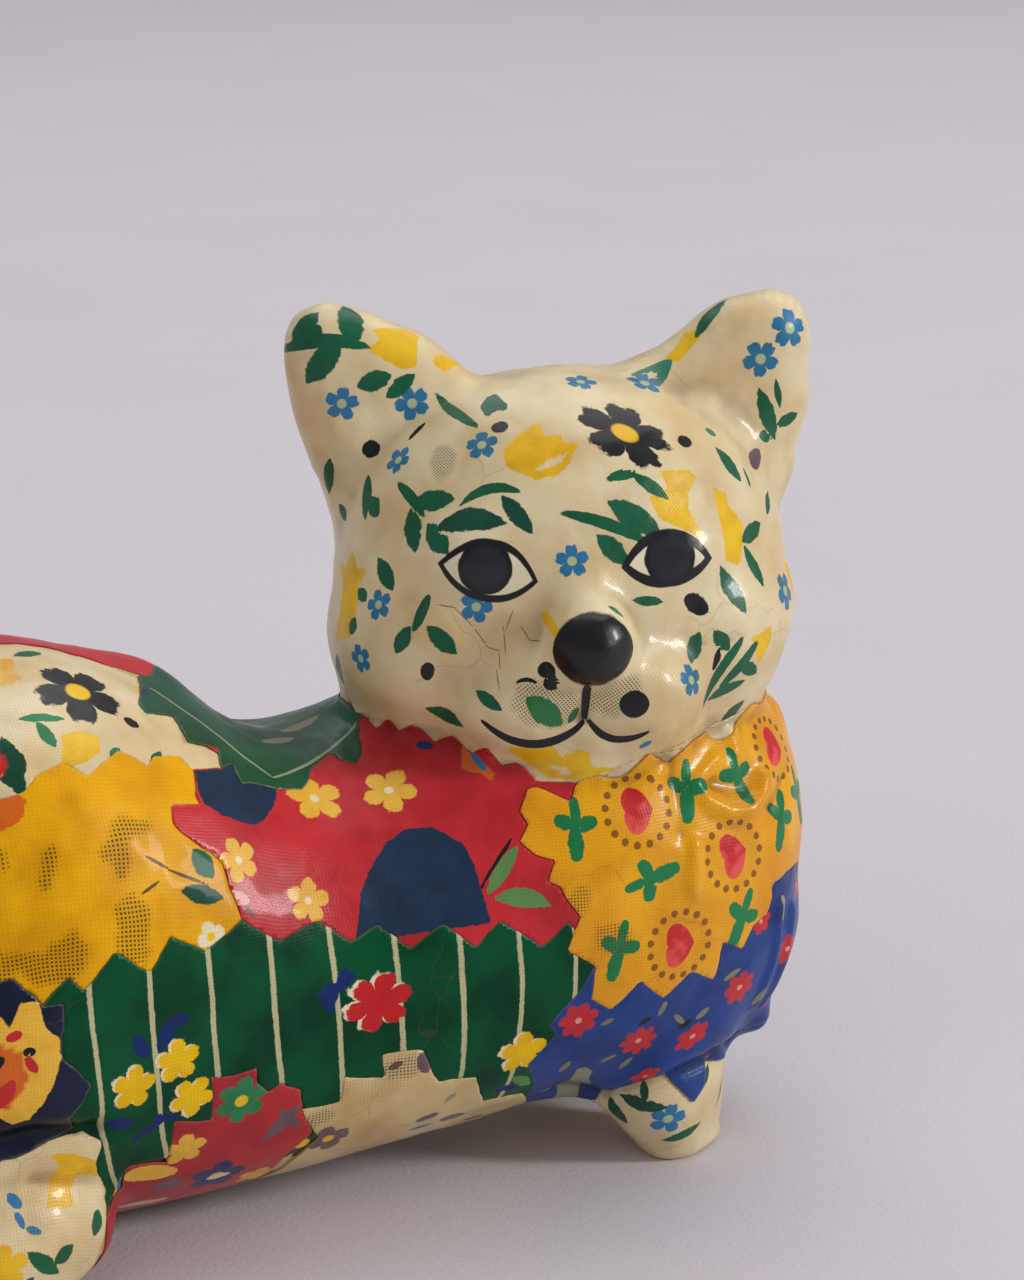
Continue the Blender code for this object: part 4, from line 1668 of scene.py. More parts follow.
@dataclass
class NearSide:
    """The scraps on the cat's right side, which faces the viewer."""

    def collar(self) -> Scrap:
        """The deep yellow heart cloth round the neck."""
        outline = [
            (-7, 8.7), (-8.1, 6.7), (-9.5, 7.5), (-11.4, 8.6), (-12.1, 8.5), (-13.6, 6.2), (-13, 4.9),
            (-14.3, 3.4), (-13.1, 2.2), (-11, 1.1), (-11.9, -0.9), (-10.6, -1.6), (-8.3, -4.8),
            (-9, -6.1), (-10, -8.2), (-6.7, -10.2), (-7.1, -13.7), (-4.7, -15.5), (-1.7, -12.3),
            (1.5, -14.9), (4.2, -12.4), (7.5, -14), (7.8, -9.7), (10.7, -11.2), (11.9, -8.9),
            (13.8, -8), (14.3, -5.2), (17, -4.4), (20.6, -4.2), (23, -6.5), (26, -4), (28, 6),
            (24.5, 12.5), (20.5, 14.8), (18.3, 13.4), (14.7, 13.5), (12.1, 11.4), (11.2, 10.5),
            (9.3, 10.3), (8.1, 11.4), (6.5, 10.8), (4.3, 9.9), (3.1, 9.1), (2, 9.5), (0, 10.4),
            (-1.8, 8.5), (-3.1, 8.2), (-5, 8.8),
        ]
        motifs = each(heart, [
            (-1.6, 4.9, 2.9, 1.75, 88), (8.9, -1.1, 2.9, 1.7, 104), (2.4, -9.2, 2.9, 1.75, 92),
            (17.9, 8.4, 2.6, 1.6, 80),
        ])
        for u, v, turn in (
            (-8.3, 4.1, 82), (4.5, 6.1, 80), (11.1, 6.4, 100), (-1, -2, -165), (-4.4, -8.7, 78),
            (10, -7.6, 70), (16.4, 1.3, 70), (21.5, 3, 100),
        ):
            motifs += sprig(u, v, turn)
        thin = [opened(-8.8, -3.2, 1.6, 1.4), opened(-5.2, -7.6, 2.4, 1.8, -30)]
        return Scrap("heart_collar", COLLAR, HEART_CLOTH, 6, outline, motifs=motifs, patches=thin)

    def chest(self) -> Scrap:
        """The royal blue cloth on the chest and the tooth of it over the paw."""
        outline = [
            (-11.7, 2.6), (-8.5, 5.7), (-7, 8), (20, 14), (25, 12), (27, -4), (19.8, -9), (12, -8.2),
            (8.3, -8), (7.5, -10.6), (6.1, -11.8), (4.5, -9.9), (2.7, -7.5), (1.2, -8.2), (-0.8, -9.8),
            (-1.6, -13.9), (-3.6, -14.9), (-7.2, -13.8), (-9.5, -14), (-11.6, -9.4), (-11.5, -6.2),
            (-13.5, -2.4), (-11, 1),
        ]
        motifs = [
            *each(flower, [
                (-8.5, 2.3, 2.2, 7, 20), (-1.1, -2.2, 2.1, 8, 50), (10.5, 0.9, 2.1, 7, 80),
            ], ink=Ink.RED),
            Motif(Layer.BOLD, 5.1, -3.2, 2.2, 1.4, 32, 6, Ink.RED),
            Motif(Layer.BOLD, 0.6, -7.4, 1.8, 0.9, 40, 5, Ink.RED),
            *each(flower, [
                (12.9, 7.7, 1.5, 6, 10), (18, 2, 1.8, 7, 40), (21.5, 7, 1.6, 7, 10),
                (17.5, -5, 1.5, 7, 70),
            ], ink=Ink.RED),
            *each(dot, [
                (-5.3, 1.5, 0.7, 0.35, 20), (0.8, 1.7, 0.9, 0.4, 70), (3.2, -0.5, 1.1, 0.35, -50),
                (6, -0.7, 0.9, 0.4, 30), (-1.6, -5.5, 1, 0.35, 60), (-3.9, -4.2, 0.9, 0.35, 30),
                (-8.7, -4.2, 0.9, 0.45, 70), (-9.4, -8.7, 0.6, 0.35, 20), (14, -2, 1.2, 0.4, 50),
                (9.2, 3, 1.1, 0.4, 20), (20.2, -2.4, 0.9, 0.4, 60),
            ], ink=Ink.OLIVE),
            dot(16.6, 7.5, 1.5, 0.7, 85, ink=Ink.STONE),
            *each(dot, [(-1, 0.6, 0.8, 0.4, 20), (4, -1.4, 0.8, 0.4, 20)]),
        ]
        petal = [
            (-6.6, -13.7), (-7.4, -9.1), (-7, -6.8), (-7.1, -5), (-6.1, -5.1), (-4.9, -6.4),
            (-4.9, -7.6), (-3.6, -9.9), (-4.1, -11.7), (-3.3, -15), (-4.9, -14.8),
        ]
        pale = [Patch(petal, Ink.STONE)]
        return Scrap("blue_chest", CHEST, NAVY_CLOTH, 5, outline, motifs=motifs, patches=pale, depth=26)

    def haunch(self) -> Scrap:
        """The night blue cloth on the haunch, with its big blossom."""
        outline = [
            (-14, 9.5), (-7.5, 8.2), (-2.7, 7.6), (-1.6, 8.2), (-0.5, 7.4), (1, 5.8), (2.7, 5.9),
            (3, 4.7), (2.2, -0.2), (3.6, -1.1), (5.5, -2.8), (4.2, -4.6), (3.1, -6), (4, -7.6),
            (0.9, -8.6), (-3.3, -10.1), (-14, -11.5),
        ]
        blossom = [
            (-3, 5.2), (-2.3, 3.9), (-1, 6.2), (0.6, 6), (1, 3.5), (2.2, 2.4), (2.3, 0.3), (1.3, -2.2),
            (0.3, -3.8), (-0.9, -5), (-2.4, -5.3), (-3.4, -4.5), (-6, -5.5), (-7.5, -2), (-7.8, 2),
            (-5.5, 4.5),
        ]
        heart_of_it = [(-6, -3), (-2.6, -3.6), (-0.8, -1.2), (-1.2, 1.4), (-3.5, 2.8), (-6, 1.5)]
        motifs = [
            *each(dot, [(-0.6, 1.6, 0.6, 0.5), (-3.6, 0.8, 0.9, 0.6, 40)]),
            *each(dot, [
                (-0.5, 0.4, 1, 0.5, -60), (-2.9, -2.2, 1.5, 0.8, 60), (-1.9, 3.2, 0.8, 0.5, 20),
            ], ink=Ink.RED),
            dot(-5.5, -1, 1.6, 0.9, 80, ink=Ink.ORANGE),
        ]
        return Scrap(
            "night_haunch", HAUNCH, NIGHT_CLOTH, 5, outline, motifs=motifs,
            patches=[Patch(blossom, Ink.STRAW), Patch(heart_of_it, Ink.ORANGE)], fray=0.3,
        )

    def hind_foot(self) -> Scrap:
        """The sprigged cream cloth on the hind foot."""
        outline = [
            (-16, 5), (-8, 3.6), (-4.5, 4), (-1, 5.4), (1.6, 6.6), (3.3, 6.7), (5.5, 5.2), (5.5, 3.4),
            (7.5, 0.9), (6.9, -1.1), (6.5, -6), (2, -12), (-8, -16), (-18, -14),
        ]
        ring = [
            (-0.5, 4.7), (2.2, 4.5), (5.1, 3.5), (7.2, 1.2), (5.7, 2.2), (3.2, 2.4), (2.4, 0.8),
            (2.8, -0.6), (-0.5, -0.6), (0.3, 2.1), (1.3, 3.4),
        ]
        motifs = [
            *each(dot, [
                (-3.4, 0.6, 0.9, 0.6, -60), (-3.2, -1.2, 0.9, 0.4, -70), (-2, -2.3, 0.8, 0.4, -20),
            ], ink=Ink.BLUE),
            *each(leaf, [
                (5.2, -2.2, 1.3, 0.8, 70), (-0.9, -5.4, 2.3, 0.9, -34), (1.2, -4.8, 1.4, 0.8, 40),
                (-2.6, -7.5, 1.4, 0.7, 60), (-11, -5, 2, 0.8, 40),
            ]),
            flower(-4.8, -5.4, 2.4, 5, 30, ink=Ink.YELLOW),
            forget_me_not(-10, 0, 2),
        ]
        return Scrap(
            "hind_foot_cloth", HIND_FOOT, CREAM_CLOTH, 4, outline, motifs=motifs,
            patches=[Patch(ring, Ink.YELLOW)], fray=0.25,
        )

    def belly(self) -> Scrap:
        """The linen strip under the belly, with its cut battlements."""
        outline = [
            (-13.2, 3.4), (-9, 3.2), (-8.7, 6.3), (-4.4, 5.2), (-4.9, 7.8), (-0.8, 7.7), (0.6, 4.3),
            (1.1, 3.4), (5.5, 3), (7.3, -2), (11.8, -2.7), (15.2, -8.2), (12, -11), (3.9, -12),
            (-6, -13), (-14.6, -12), (-12.4, -5), (-10.6, -1.7),
        ]
        motifs = [
            flower(-9.5, -1.9, 2.3, 4, 20, ink=Ink.MAUVE),
            *each(dot, [
                (-3.6, 6.5, 0.8, 0.45, 20), (-0.6, 6.2, 1.3, 0.8, -70), (1.2, -2.3, 1.2, 0.6, 20),
                (4.4, -3.9, 1.5, 0.8, -10), (8, -7, 1.4, 0.6, -20), (10.9, -1.6, 1, 0.5, 10),
            ], ink=Ink.MAUVE),
            dot(1.1, -4.6, 1.2, 0.5, 10, ink=Ink.BLUE),
            leaf(3, 0.6, 0.9, 0.4, 50, ink=Ink.STONE),
        ]
        thin = [opened(-2.6, 6.2, 2.4, 1.4), opened(-11, 1.6, 1.8, 1.2)]
        return Scrap("linen_belly", BELLY, LINEN_CLOTH, 5, outline, motifs=motifs, patches=thin)

    def skirt(self) -> Scrap:
        """The red garden cloth low behind the belly."""
        outline = [
            (-12.4, -3), (-8.4, -3.6), (-8.6, -0.2), (-4.1, -1.6), (-4.1, 4.4), (-0.3, 3), (-0.5, 8.4),
            (1.6, 7.9), (4.2, 8.1), (4.3, 6.5), (5.6, 4.9), (6.7, 5.6), (8.7, 4.4), (9.2, 1.8),
            (10.6, -1.7), (8.6, -5), (7.8, -12.8), (2.8, -15), (-3.2, -15), (-13.5, -11),
        ]
        motifs = [
            flower(2.7, 4.7, 2.8, 6, 20, ink=Ink.GREEN),
            *each(leaf, [(7.2, 0.6, 2.7, 0.9, 49), (8, 1, 2, 0.6, -50)], ink=Ink.MAUVE),
            flower(-2.6, 0, 2.3, 5, 20, ink=Ink.STRAW),
            blob(-5.8, -2.6, 3.2, 1.3, -18, Ink.STRAW),
            flower(1.8, -6.4, 3, 5, 10, ink=Ink.NAVY),
            dot(2, -6.6, 1.2, 0.5, 10, ink=Ink.PALE),
            dot(-3.4, -5.8, 1.6, 1.3, ink=Ink.MAUVE),
            dot(-5.3, -9.8, 3, 0.9, -12, ink=Ink.CREAM),
            flower(6.5, -9, 2.2, 5, 0, ink=Ink.STRAW),
        ]
        return Scrap("garden_skirt", SKIRT, SKIRT_CLOTH, 4, outline, motifs=motifs, depth=24)

    def fence(self) -> Scrap:
        """The green cloth with palings along the flank."""
        outline = [
            (-29.6, 7), (-28.2, 8.3), (-26.6, 6.6), (-23.2, 9.7), (-19.5, 7.1), (-16.6, 10),
            (-13.1, 7.6), (-8.8, 9.8), (-5, 7), (-0.7, 8.3), (2.3, 6), (5.3, 7), (8.1, 4.4),
            (11.7, 6.5), (14.7, 3.7), (17.6, 6.1), (21.8, 2.9), (25.1, 5.2), (29, -0.4), (29, -4),
            (24, -9), (25, -16), (-3, -15), (-16, -14), (-21, -14), (-23, -17), (-26, -19), (-34, -12),
            (-34, 4),
        ]
        motifs = [
            Motif(Layer.BOLD, 4.6, -0.4, 3.7, 3, 14, 6.06, Ink.RED),
            *each(flower, [
                (-16.4, -2.4, 2.3, 5, 20), (-21.4, -4.2, 2.3, 5, 10), (-14.7, -6.6, 2.3, 5, 55),
                (20.8, -8.6, 2.6, 5, 20),
            ], ink=Ink.YELLOW),
            *each(leaf, [
                (-20.6, -0.1, 1.5, 0.8, -60), (-17.9, 0.4, 1.6, 0.8, 60), (-16.6, 1.6, 1.6, 0.7, 10),
                (-19, -9.2, 2.6, 0.55, 31), (-17.4, -8.4, 1.8, 0.5, -20),
            ], ink=Ink.NAVY),
            *each(dot, [(-22.7, -7.9, 1.3, 0.8, -20), (20.6, -13.4, 1.4, 0.6, -10)], ink=Ink.NAVY),
            leaf(22.2, -12.8, 1.8, 0.8, -45, ink=Ink.MOSS),
        ]
        fork = [(-1.9, 1.2), (-0.2, -0.9), (0.6, 1.2), (2.6, 2.4), (1.2, 3.8), (0.2, 2.2), (-0.7, 2.2)]
        return Scrap(
            "fence_flank", FLANK, FENCE_CLOTH, 4, outline, motifs=motifs,
            patches=[Patch(fork, Ink.NAVY)], depth=24,
        )

    def saddle(self) -> Scrap:
        """The dark green cloth over the low of the back."""
        outline = [
            (-11.5, 3.4), (-14.3, -4), (-14, -5.3), (-10.1, -4), (-9.9, -5.8), (-9.5, -8), (-5.6, -7),
            (-6.2, -10.1), (-4.3, -8.6), (-4.1, -11), (-2, -10.3), (0.4, -10.1), (3.1, -9.9), (5, -7),
            (7.9, -4.5), (8.3, -5.9), (9.7, -7.2), (10.7, -5.7), (12, -1), (17, 4), (18, 14), (10, 16),
            (6, 21), (0, 17), (-4, 13), (-7.5, 8), (-9.8, 4),
        ]
        motifs = [
            *each(rule, [(-5.6, -4.1, 7.3, 0.2, -39), (6.1, -4.7, 7.1, 0.2, 34, -0.5)]),
            *each(leaf, [(7.6, 2.7, 2.9, 0.9, 22), (3.6, -1.2, 2.4, 0.7, 20)], ink=Ink.OLIVE),
            leaf(2, 5, 3, 1, -20, ink=Ink.STONE),
            flower(-2, 10, 2.6, 5, 0, ink=Ink.STONE),
        ]
        bits = [Patch([(-12.6, 2.4), (-11.8, -1.2), (-14.2, -2.5)], Ink.DEEP_NAVY)]
        return Scrap("green_saddle", SADDLE, SADDLE_CLOTH, 4, outline, motifs=motifs, patches=bits)

    def red_back(self) -> Scrap:
        """The red cloth with domes behind the neck."""
        outline = [
            (-19.8, 8.4), (-15, 12), (-8, 13), (-2, 14), (2, 17), (4, 19), (9.2, 15), (16, 9), (22, 4),
            (22, -12), (18, -17), (-2, -17), (-15.6, -12), (-16.1, -8), (-17.9, -6.2), (-18.6, -4.1),
            (-18.7, -2.2), (-21.1, -1.3), (-22.6, -1.3), (-23.4, 0.5), (-22.8, 2.4), (-19.5, 2.8),
        ]
        dome = [
            (-4.5, -10.1), (-3.1, -5.6), (-1.5, -3.3), (0.5, -1.2), (2.8, -0.2), (5.3, -0.4),
            (7.9, -2.8), (8.5, -5.2), (8.8, -7.5), (9.6, -10.3),
        ]
        upper = [
            (-18.8, 6.7), (-19, 4.3), (-18.8, 3), (-17, 1.8), (-14.9, 1.3), (-13, 1.1), (-11.6, 1.9),
            (-10.1, 3.5), (-8.9, 5.4), (-8.2, 7.6), (-10.7, 6.5), (-12.8, 6.2), (-12.8, 8.7),
            (-13.1, 10.3), (-14.8, 7.6),
        ]
        tuft = [(10.5, 7.2), (9.9, 5), (10.7, 4.1), (11.6, 3.8), (12.3, 2.4), (12.8, 3.3), (10.9, 6.5)]
        motifs = [
            *each(flower, [
                (-5, 4.8, 3, 5, 20), (2.5, 4.5, 2.8, 5, 50), (-15.7, -2.6, 2.3, 5, 35),
                (-8.6, -6, 2.3, 5, 5),
            ], ink=Ink.STRAW),
            dot(11.6, 4.9, 1.2, 0.4, -60, ink=Ink.BLUE),
            dot(7.4, 8.8, 0.9, 0.5, -30, ink=Ink.NAVY),
            *each(leaf, [(11.1, -6, 2.9, 0.8, 49), (12.8, -9, 3, 1, -14, 0.5)], ink=Ink.MOSS),
            Motif(Layer.FINE, 10.6, -5.3, 2.9, 0.25, 49, BLUNT, Ink.BLACK),
            *each(dot, [(-19.4, -2.2, 1.2, 0.4, -20), (-16.4, -6, 1.4, 0.7, -20)], ink=Ink.PINK),
            dot(-15.4, -6.9, 1.2, 0.25, -60, ink=Ink.BROWN),
        ]
        shapes = [Patch(dome, Ink.DEEP_NAVY), Patch(upper, Ink.DEEP_NAVY), Patch(tuft, Ink.ORANGE)]
        return Scrap("red_back", BACK, RED_CLOTH, 3, outline, motifs=motifs, patches=shapes)

    def gauze(self) -> Scrap:
        """The sheer yellow cloth over the side of the rump."""
        outline = [
            (-20, 8.5), (-9, 7.5), (-7, 7.7), (-6, 8.9), (-3, 10), (-1, 8.5), (3.3, 11.3), (6, 9.3),
            (7.3, 10.6), (10.4, 10.8), (11.3, 9.1), (10.1, 6.1), (10.6, 5.3), (7.2, 5.2), (6.9, 3.4),
            (9.2, 1.2), (11.5, -0.8), (12, -3.2), (13, -6.4), (16, -10), (16, -16), (-22, -18),
            (-24, -4),
        ]
        gaps = [
            [
                (1.3, 4.6), (4.3, 3.9), (4.8, 3.1), (1.7, 1.9), (1.6, 0.9), (1.2, -1.6), (0.3, -1.9),
                (-0.3, -0.8), (-1.6, 1.2), (-0.1, 2.9),
            ],
            [(-5.5, 2.6), (-4.8, 1.6), (-5.4, 0), (-6.3, -1.9), (-7.2, -1.4), (-7.1, 0.8)],
            [(-0.5, -3.9), (1.4, -2.9), (3.5, -4.3), (3.1, -5.9), (2.9, -9.2), (1, -9.9), (-0.5, -8.3)],
            [
                (-7.8, -7.2), (-4.3, -5.2), (-3.1, -7.2), (-3.4, -9.4), (-6.1, -10.8), (-8.1, -10.5),
                (-10.5, -8.5), (-11.4, -6.7),
            ],
        ]
        tip = [(-9.2, 8.5), (-7.9, 7.7), (-7.1, 6.9), (-7.8, 5.1), (-9.9, 4.3), (-12, 7)]
        patches = [Patch(gap) for gap in gaps]
        patches += [opened(-10.2, 1.6, 0.7, 1.2), opened(-13, -8, 3, 2), Patch(tip, Ink.ORANGE)]
        motifs = [
            leaf(9.5, -0.6, 1.7, 1.25, -60),
            leaf(8.9, -3.5, 2.4, 1, -14, ink=Ink.DEEP_LEAF),
            # A painted highlight: a pale four-petal shape where the crumpled gauze catches the light.
            flower(9.6, -7.5, 1.6, 4, 20, ink=Ink.PALE),
            *each(dot, [
                (4.4, -0.2, 1.4, 0.2, -31), (7.6, -1.8, 2.4, 0.2, -22), (3.4, -2.5, 1.2, 0.18, 27),
            ], ink=Ink.BROWN),
        ]
        return Scrap("yellow_gauze", SIDE, GAUZE_CLOTH, 2, outline, motifs=motifs, patches=patches)

    def hump(self) -> Scrap:
        """The sprigged cream cloth on the hump."""
        outline = [
            (-30, 10.5), (-14, 12), (-3.3, 12.2), (1, 12.9), (4.8, 12.2), (9.7, 9.2), (9, 5.8),
            (9.2, 1.5), (11.6, 2.2), (11.4, -2.3), (14.1, -1.5), (16.2, -2), (15.7, -4.4), (11.5, -6),
            (10, -9), (4, -12), (-8, -16), (-30, -14),
        ]
        low = [
            (-2.3, -4.5), (-0.4, -3.8), (1.5, -4.4), (1.1, -6.2), (-0.6, -7.4), (-2.6, -8.3),
            (-3.2, -7.6),
        ]
        left = [(-5.1, 7.8), (-3.9, 7.2), (-4.7, 4.3), (-4.1, 3.6), (-5.4, 2.4), (-6.6, 2.4)]
        dark = [
            (-8, -3.7), (-7.2, -4.9), (-6.4, -6.3), (-6.3, -7.4), (-6.9, -8.5), (-6.8, -9.9),
            (-7.5, -10.4), (-8.2, -9.4), (-9.1, -8.2), (-8.6, -5.6),
        ]
        motifs = [
            Motif(Layer.BOLD, 0.9, 1.8, 5.2, 4.6, 50, 5.1, Ink.BLACK, eye=Ink.YELLOW),
            dot(5.8, -1.3, 0.85, 0.75, -20),
            *each(leaf, [
                (-3.8, -2.4, 2.3, 0.6, -3), (-3.8, -4.4, 1.7, 0.75, -70), (2.7, -6, 0.9, 0.5, 40),
            ], ink=Ink.GREEN),
            *each(leaf, [(7.4, -5.8, 1.5, 0.65, 57), (-2, 9, 2, 0.8, 30), (-14, -4, 2.4, 0.9, 100)]),
            flower(9, 6, 2, 5, 0, ink=Ink.CREAM),
            flower(-12, 4, 4, 6, 0, ink=Ink.BLACK),
            blob(-19, 2, 2.6, 2, 30, Ink.YELLOW),
            forget_me_not(-20, -6, 2, 30),
        ]
        patches = [Patch(low, Ink.YELLOW), Patch(left, Ink.STRAW), Patch(dark, Ink.DEEP_LEAF)]
        patches += [Patch([(-8.6, -5.4), (-7.9, -6.9), (-9.2, -8.2), (-10.6, -6.8)], Ink.RED)]
        return Scrap("cream_hump", HUMP, CREAM_CLOTH, 1, outline, motifs=motifs, patches=patches)

    def scraps(self) -> list[Scrap]:
        """The near side's scraps, in the order that they are cut."""
        scraps = [self.chest(), self.haunch(), self.hind_foot(), self.belly(), self.skirt()]
        return scraps + [self.fence(), self.saddle(), self.gauze(), self.hump(), self.red_back()]


@dataclass
class FarSide:
    """The plainer scraps on the sides that are seldom seen."""

    def blossoms(self, ink: Ink, radius: float, places: Iterable[Pair]) -> list[Motif]:
        """One blossom at each place."""
        return [flower(u, v, radius, 5, 25.0 * index, ink) for index, (u, v) in enumerate(places)]

    def hearts(self, swing: float, places: Iterable[Pair]) -> list[Motif]:
        """One heart at each place, turned more the further along it is."""
        return [heart(u, v, 2.8, 1.8, swing * u) for u, v in places]

    def scraps(self) -> list[Scrap]:
        """The scraps, in the order that they are cut.

        Returns:
            The scraps.
        """
        hearts = self.hearts(40, ((-11, 15), (1, 17), (12, 14), (-5, 8), (8, 7)))
        far_hearts = self.hearts(60, ((-10, 17), (4, 18), (14, 16)))
        for u, v in ((-16, 14), (-3, 14), (9, 13)):
            far_hearts += sprig(u, v, 80 + 5 * u)
        stars = self.blossoms(Ink.RED, 2, itertools.product((-16, -8, 0, 8, 16), (-12, -4, 5)))
        collar = [(-26, 26), (26, 26)] + pinked([(26, 4), (-26, 4)], 11, 2.6)
        collar_end = [(-24, 34)] + pinked([(20, 34), (20, 10), (-24, 8)], 14, 2.4)
        side = [(-22, 14), (-24, -20)] + pinked([(17, -20), (19, 12)], 7, 2.4)
        red = [(26, 8), (23, 17), (-20, 17), (-26, 9)] + pinked([(-26, -6), (26, -8)], 7, 2)
        fence = pinked([(24, 3), (-26, 5)], 9, 2.6) + [(-28, -24), (28, -24)]
        garden = pinked([(16, 14), (-18, 15)], 6, 2.4) + [(-22, -26), (22, -26)]
        rump = pinked([(20, -14), (22, 14), (-20, 14), (-22, -14)], 14, 2.4)
        return [
            Scrap("heart_front", BREAST, HEART_CLOTH, 5, collar, motifs=hearts),
            Scrap("heart_far", FAR_CHEST, HEART_CLOTH, 5, collar_end, motifs=far_hearts),
            Scrap(
                "blue_front", BREAST, NAVY_CLOTH, 4, [(-26, 20), (26, 20), (26, -19), (-26, -19)],
                motifs=stars,
            ),
            Scrap("blue_far", FAR_CHEST, NAVY_CLOTH, 3, side, motifs=stars),
            Scrap(
                "red_far", FAR_HUMP, RED_CLOTH, 3, red,
                motifs=self.blossoms(Ink.STRAW, 2.4, ((-14, 3), (-4, 0), (7, 4), (15, -2))),
            ),
            Scrap(
                "fence_far", FAR_FLANK, FENCE_CLOTH, 3, fence,
                motifs=self.blossoms(Ink.STRAW, 2.5, ((-12, -4), (9, -7), (16, 0))),
            ),
            Scrap(
                "garden_far", FAR_BACK, SKIRT_CLOTH, 2, garden,
                motifs=scattered(26, 4, (Ink.STRAW, Ink.GREEN, Ink.NAVY, Ink.PALE)),
            ),
            Scrap(
                "cream_far", FAR_FLANK, CREAM_CLOTH, 1,
                [(-30, 8), (-30, 40), (40, 40), (40, -10), (20, -18), (0, -18)],
                motifs=scattered(38, 8), depth=30,
            ),
            Scrap(
                "night_rump", RUMP, NIGHT_CLOTH, 3, rump,
                motifs=self.blossoms(Ink.STRAW, 4.6, ((-7, 4), (8, -3), (-3, -9))),
            ),
            Scrap(
                "cream_rump", RUMP, CREAM_CLOTH, 2, [(-34, -14), (34, -14), (30, 34), (-30, 34)],
                motifs=scattered(38, 9), depth=30,
            ),
            Scrap(
                "heart_tail", TAIL, HEART_CLOTH, 1, [(-30, -10), (-30, 6), (26, 5), (26, -10)],
                motifs=sprig(-12, -1, 10) + sprig(2, 0, 200) + sprig(13, -1, 60),
            ),
        ]


@dataclass
class Base:
    """What the scraps leave bare: paws, feet and the underside, in cream."""

    def scraps(self) -> list[Scrap]:
        """The base cloths, in the order that they are cut.

        Returns:
            The scraps.
        """
        paw = [
            *each(leaf, [
                (-2.2, 0.6, 2.6, 0.85, -6), (-2, 2.2, 1.2, 0.5, 80), (-4.5, -2.2, 1.9, 0.95, -30),
            ], ink=Ink.DEEP_LEAF),
            forget_me_not(0.7, -1.2, 2.1, 10),
            *each(leaf, [(2.7, -3.6, 2.3, 0.6, 20), (5, 2.2, 1.6, 0.5, 60), (9, -2, 2, 0.8, 70)]),
        ]
        near = Plane((0, -2, 0), (0, -1, 0))
        front = Plane((18, 0, 0), (1, 0, 0))
        return [
            Scrap("front_paw_cloth", FRONT_PAW, CREAM_CLOTH, 0, planes=(near, front), motifs=paw),
            Scrap("under_cloth", UNDER, LINEN_CLOTH, 0, motifs=scattered(44, 5)),
        ]


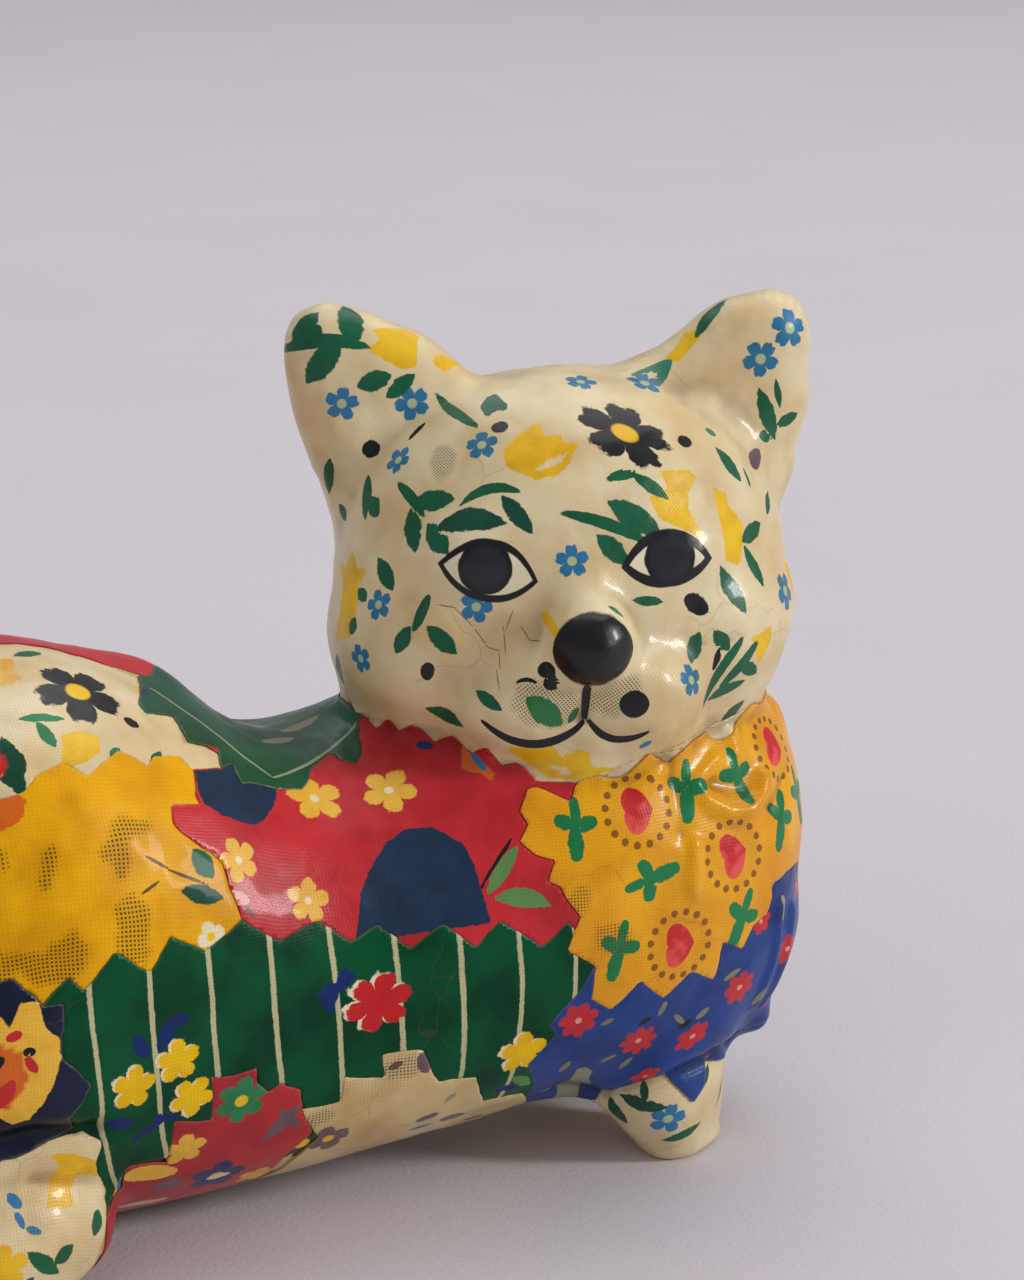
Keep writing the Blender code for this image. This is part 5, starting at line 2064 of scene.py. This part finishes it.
@dataclass(frozen=True)
class Studio:
    """The pale table, the soft window light and the camera."""

    look_at: Triple = (31.752, 11.726, 48.0)
    azimuth: float = -22.0
    elevation: float = 16.0
    distance: float = 400.0
    lens: float = 107.16
    table_radius: float = 3.0
    table_sides: int = 96
    air: Triple = (0.70, 0.69, 0.74)
    air_strength: float = 0.42
    aim: Triple = (0.01, -0.01, 0.045)
    # Each lamp: metres to the right, ahead and up, its width and height, and its watts
    lamps: tuple = (
        ("window", (2.75, -0.62, 1.25), (0.4, 0.65), 47.0), ("sky", (0.1, 0.6, 1.25), (1.5, 1.2), 9.0),
        ("room", (-0.6, -0.9, 1.0), (1.4, 1.0), 4.0),
    )

    def build(self) -> None:
        """Sets everything up round the cat."""
        self._camera()
        self._table()
        self._lights()
        bpy.context.scene.view_settings.view_transform = "Standard"

    def _directions(self) -> tuple[Vector, Vector]:
        """To the right of the camera, and from the cat back to the camera."""
        turn, lift = math.radians(self.azimuth), math.radians(self.elevation)
        level = math.cos(lift)
        back = Vector((math.sin(turn) * level, -math.cos(turn) * level, math.sin(lift)))
        return Vector((math.cos(turn), math.sin(turn), 0)), back

    def _camera(self) -> None:
        """A long lens, looking a little down."""
        back = self._directions()[1]
        data = bpy.data.cameras.new("camera")
        data.sensor_fit = "VERTICAL"
        data.sensor_height = 36.0
        data.lens = self.lens
        data.clip_start = 0.01
        camera = bpy.data.objects.new("camera", data)
        camera.location = (Vector(self.look_at) + back * self.distance) * MM
        camera.rotation_euler = back.to_track_quat("Z", "Y").to_euler()
        bpy.context.scene.collection.objects.link(camera)
        bpy.context.scene.camera = camera

    def _table(self) -> None:
        """A wide round table top."""
        angles = [step * math.tau / self.table_sides for step in range(self.table_sides)]
        corners = [Vector((math.cos(angle), math.sin(angle), 0)) * self.table_radius for angle in angles]
        mesh = bpy.data.meshes.new("table")
        mesh.from_pydata(corners, [], [range(self.table_sides)])
        bench = Bench("painted_table")
        grain = bench.noise(60.0, 4.0)
        colour = bench.mix(grain, "#d3cdd2", "#d9d3d8")
        specks = bench.noise(0.6, 2.0)
        mesh.materials.append(bench.finished(colour, 0.55 + 0.1 * grain, bench.bump(specks, 0.1)))
        table = bpy.data.objects.new("table", mesh)
        bpy.context.scene.collection.objects.link(table)

    def _lights(self) -> None:
        """A window to the right and behind, soft light from above and grey walls."""
        world = bpy.data.worlds.new("room")
        world.use_nodes = True
        glow = world.node_tree.nodes["Background"]
        glow.inputs[0].default_value = (*self.air, 1)
        glow.inputs[1].default_value = self.air_strength
        bpy.context.scene.world = world
        right, back = self._directions()
        ahead = Vector((-back.x, -back.y, 0)).normalized()
        for name, (aside, forward, rise), size, power in self.lamps:
            place = right * aside + ahead * forward + Vector((0, 0, rise))
            self._window(name, place, size, power)

    def _window(self, name: str, place: Vector, size: Pair, power: float) -> None:
        """One rectangle of light that looks at the cat.

        Args:
            name: What it is called.
            place: Where it is, in metres from what it looks at.
            size: Its width and height in metres.
            power: Its strength in watts.
        """
        data = bpy.data.lights.new(name, "AREA")
        data.shape = "RECTANGLE"
        data.size, data.size_y = size
        data.energy = power
        lamp = bpy.data.objects.new(name, data)
        lamp.visible_glossy = name != "room"
        lamp.location = Vector(self.aim) + place
        lamp.rotation_euler = place.to_track_quat("Z", "Y").to_euler()
        bpy.context.scene.collection.objects.link(lamp)


def main() -> None:
    """Builds the cat's cloths and the studio round it."""
    logging.basicConfig(level=logging.INFO, format="%(name)s: %(message)s")
    skin = Form([*FOLDS, *(Swell(*row) for row in SWELLS)]).build()
    LOG.info("form: %d triangles", len(skin.faces))
    head = HeadCloths()
    near = NearSide()
    order = [near.collar(), *head.scraps(), *near.scraps(), *FarSide().scraps(), *Base().scraps()]
    for scrap in order:
        skin = scrap.cut(skin)
    LOG.info("left over: %d triangles", len(skin.faces))
    Studio().build()


if __name__ == "__main__":
    main()
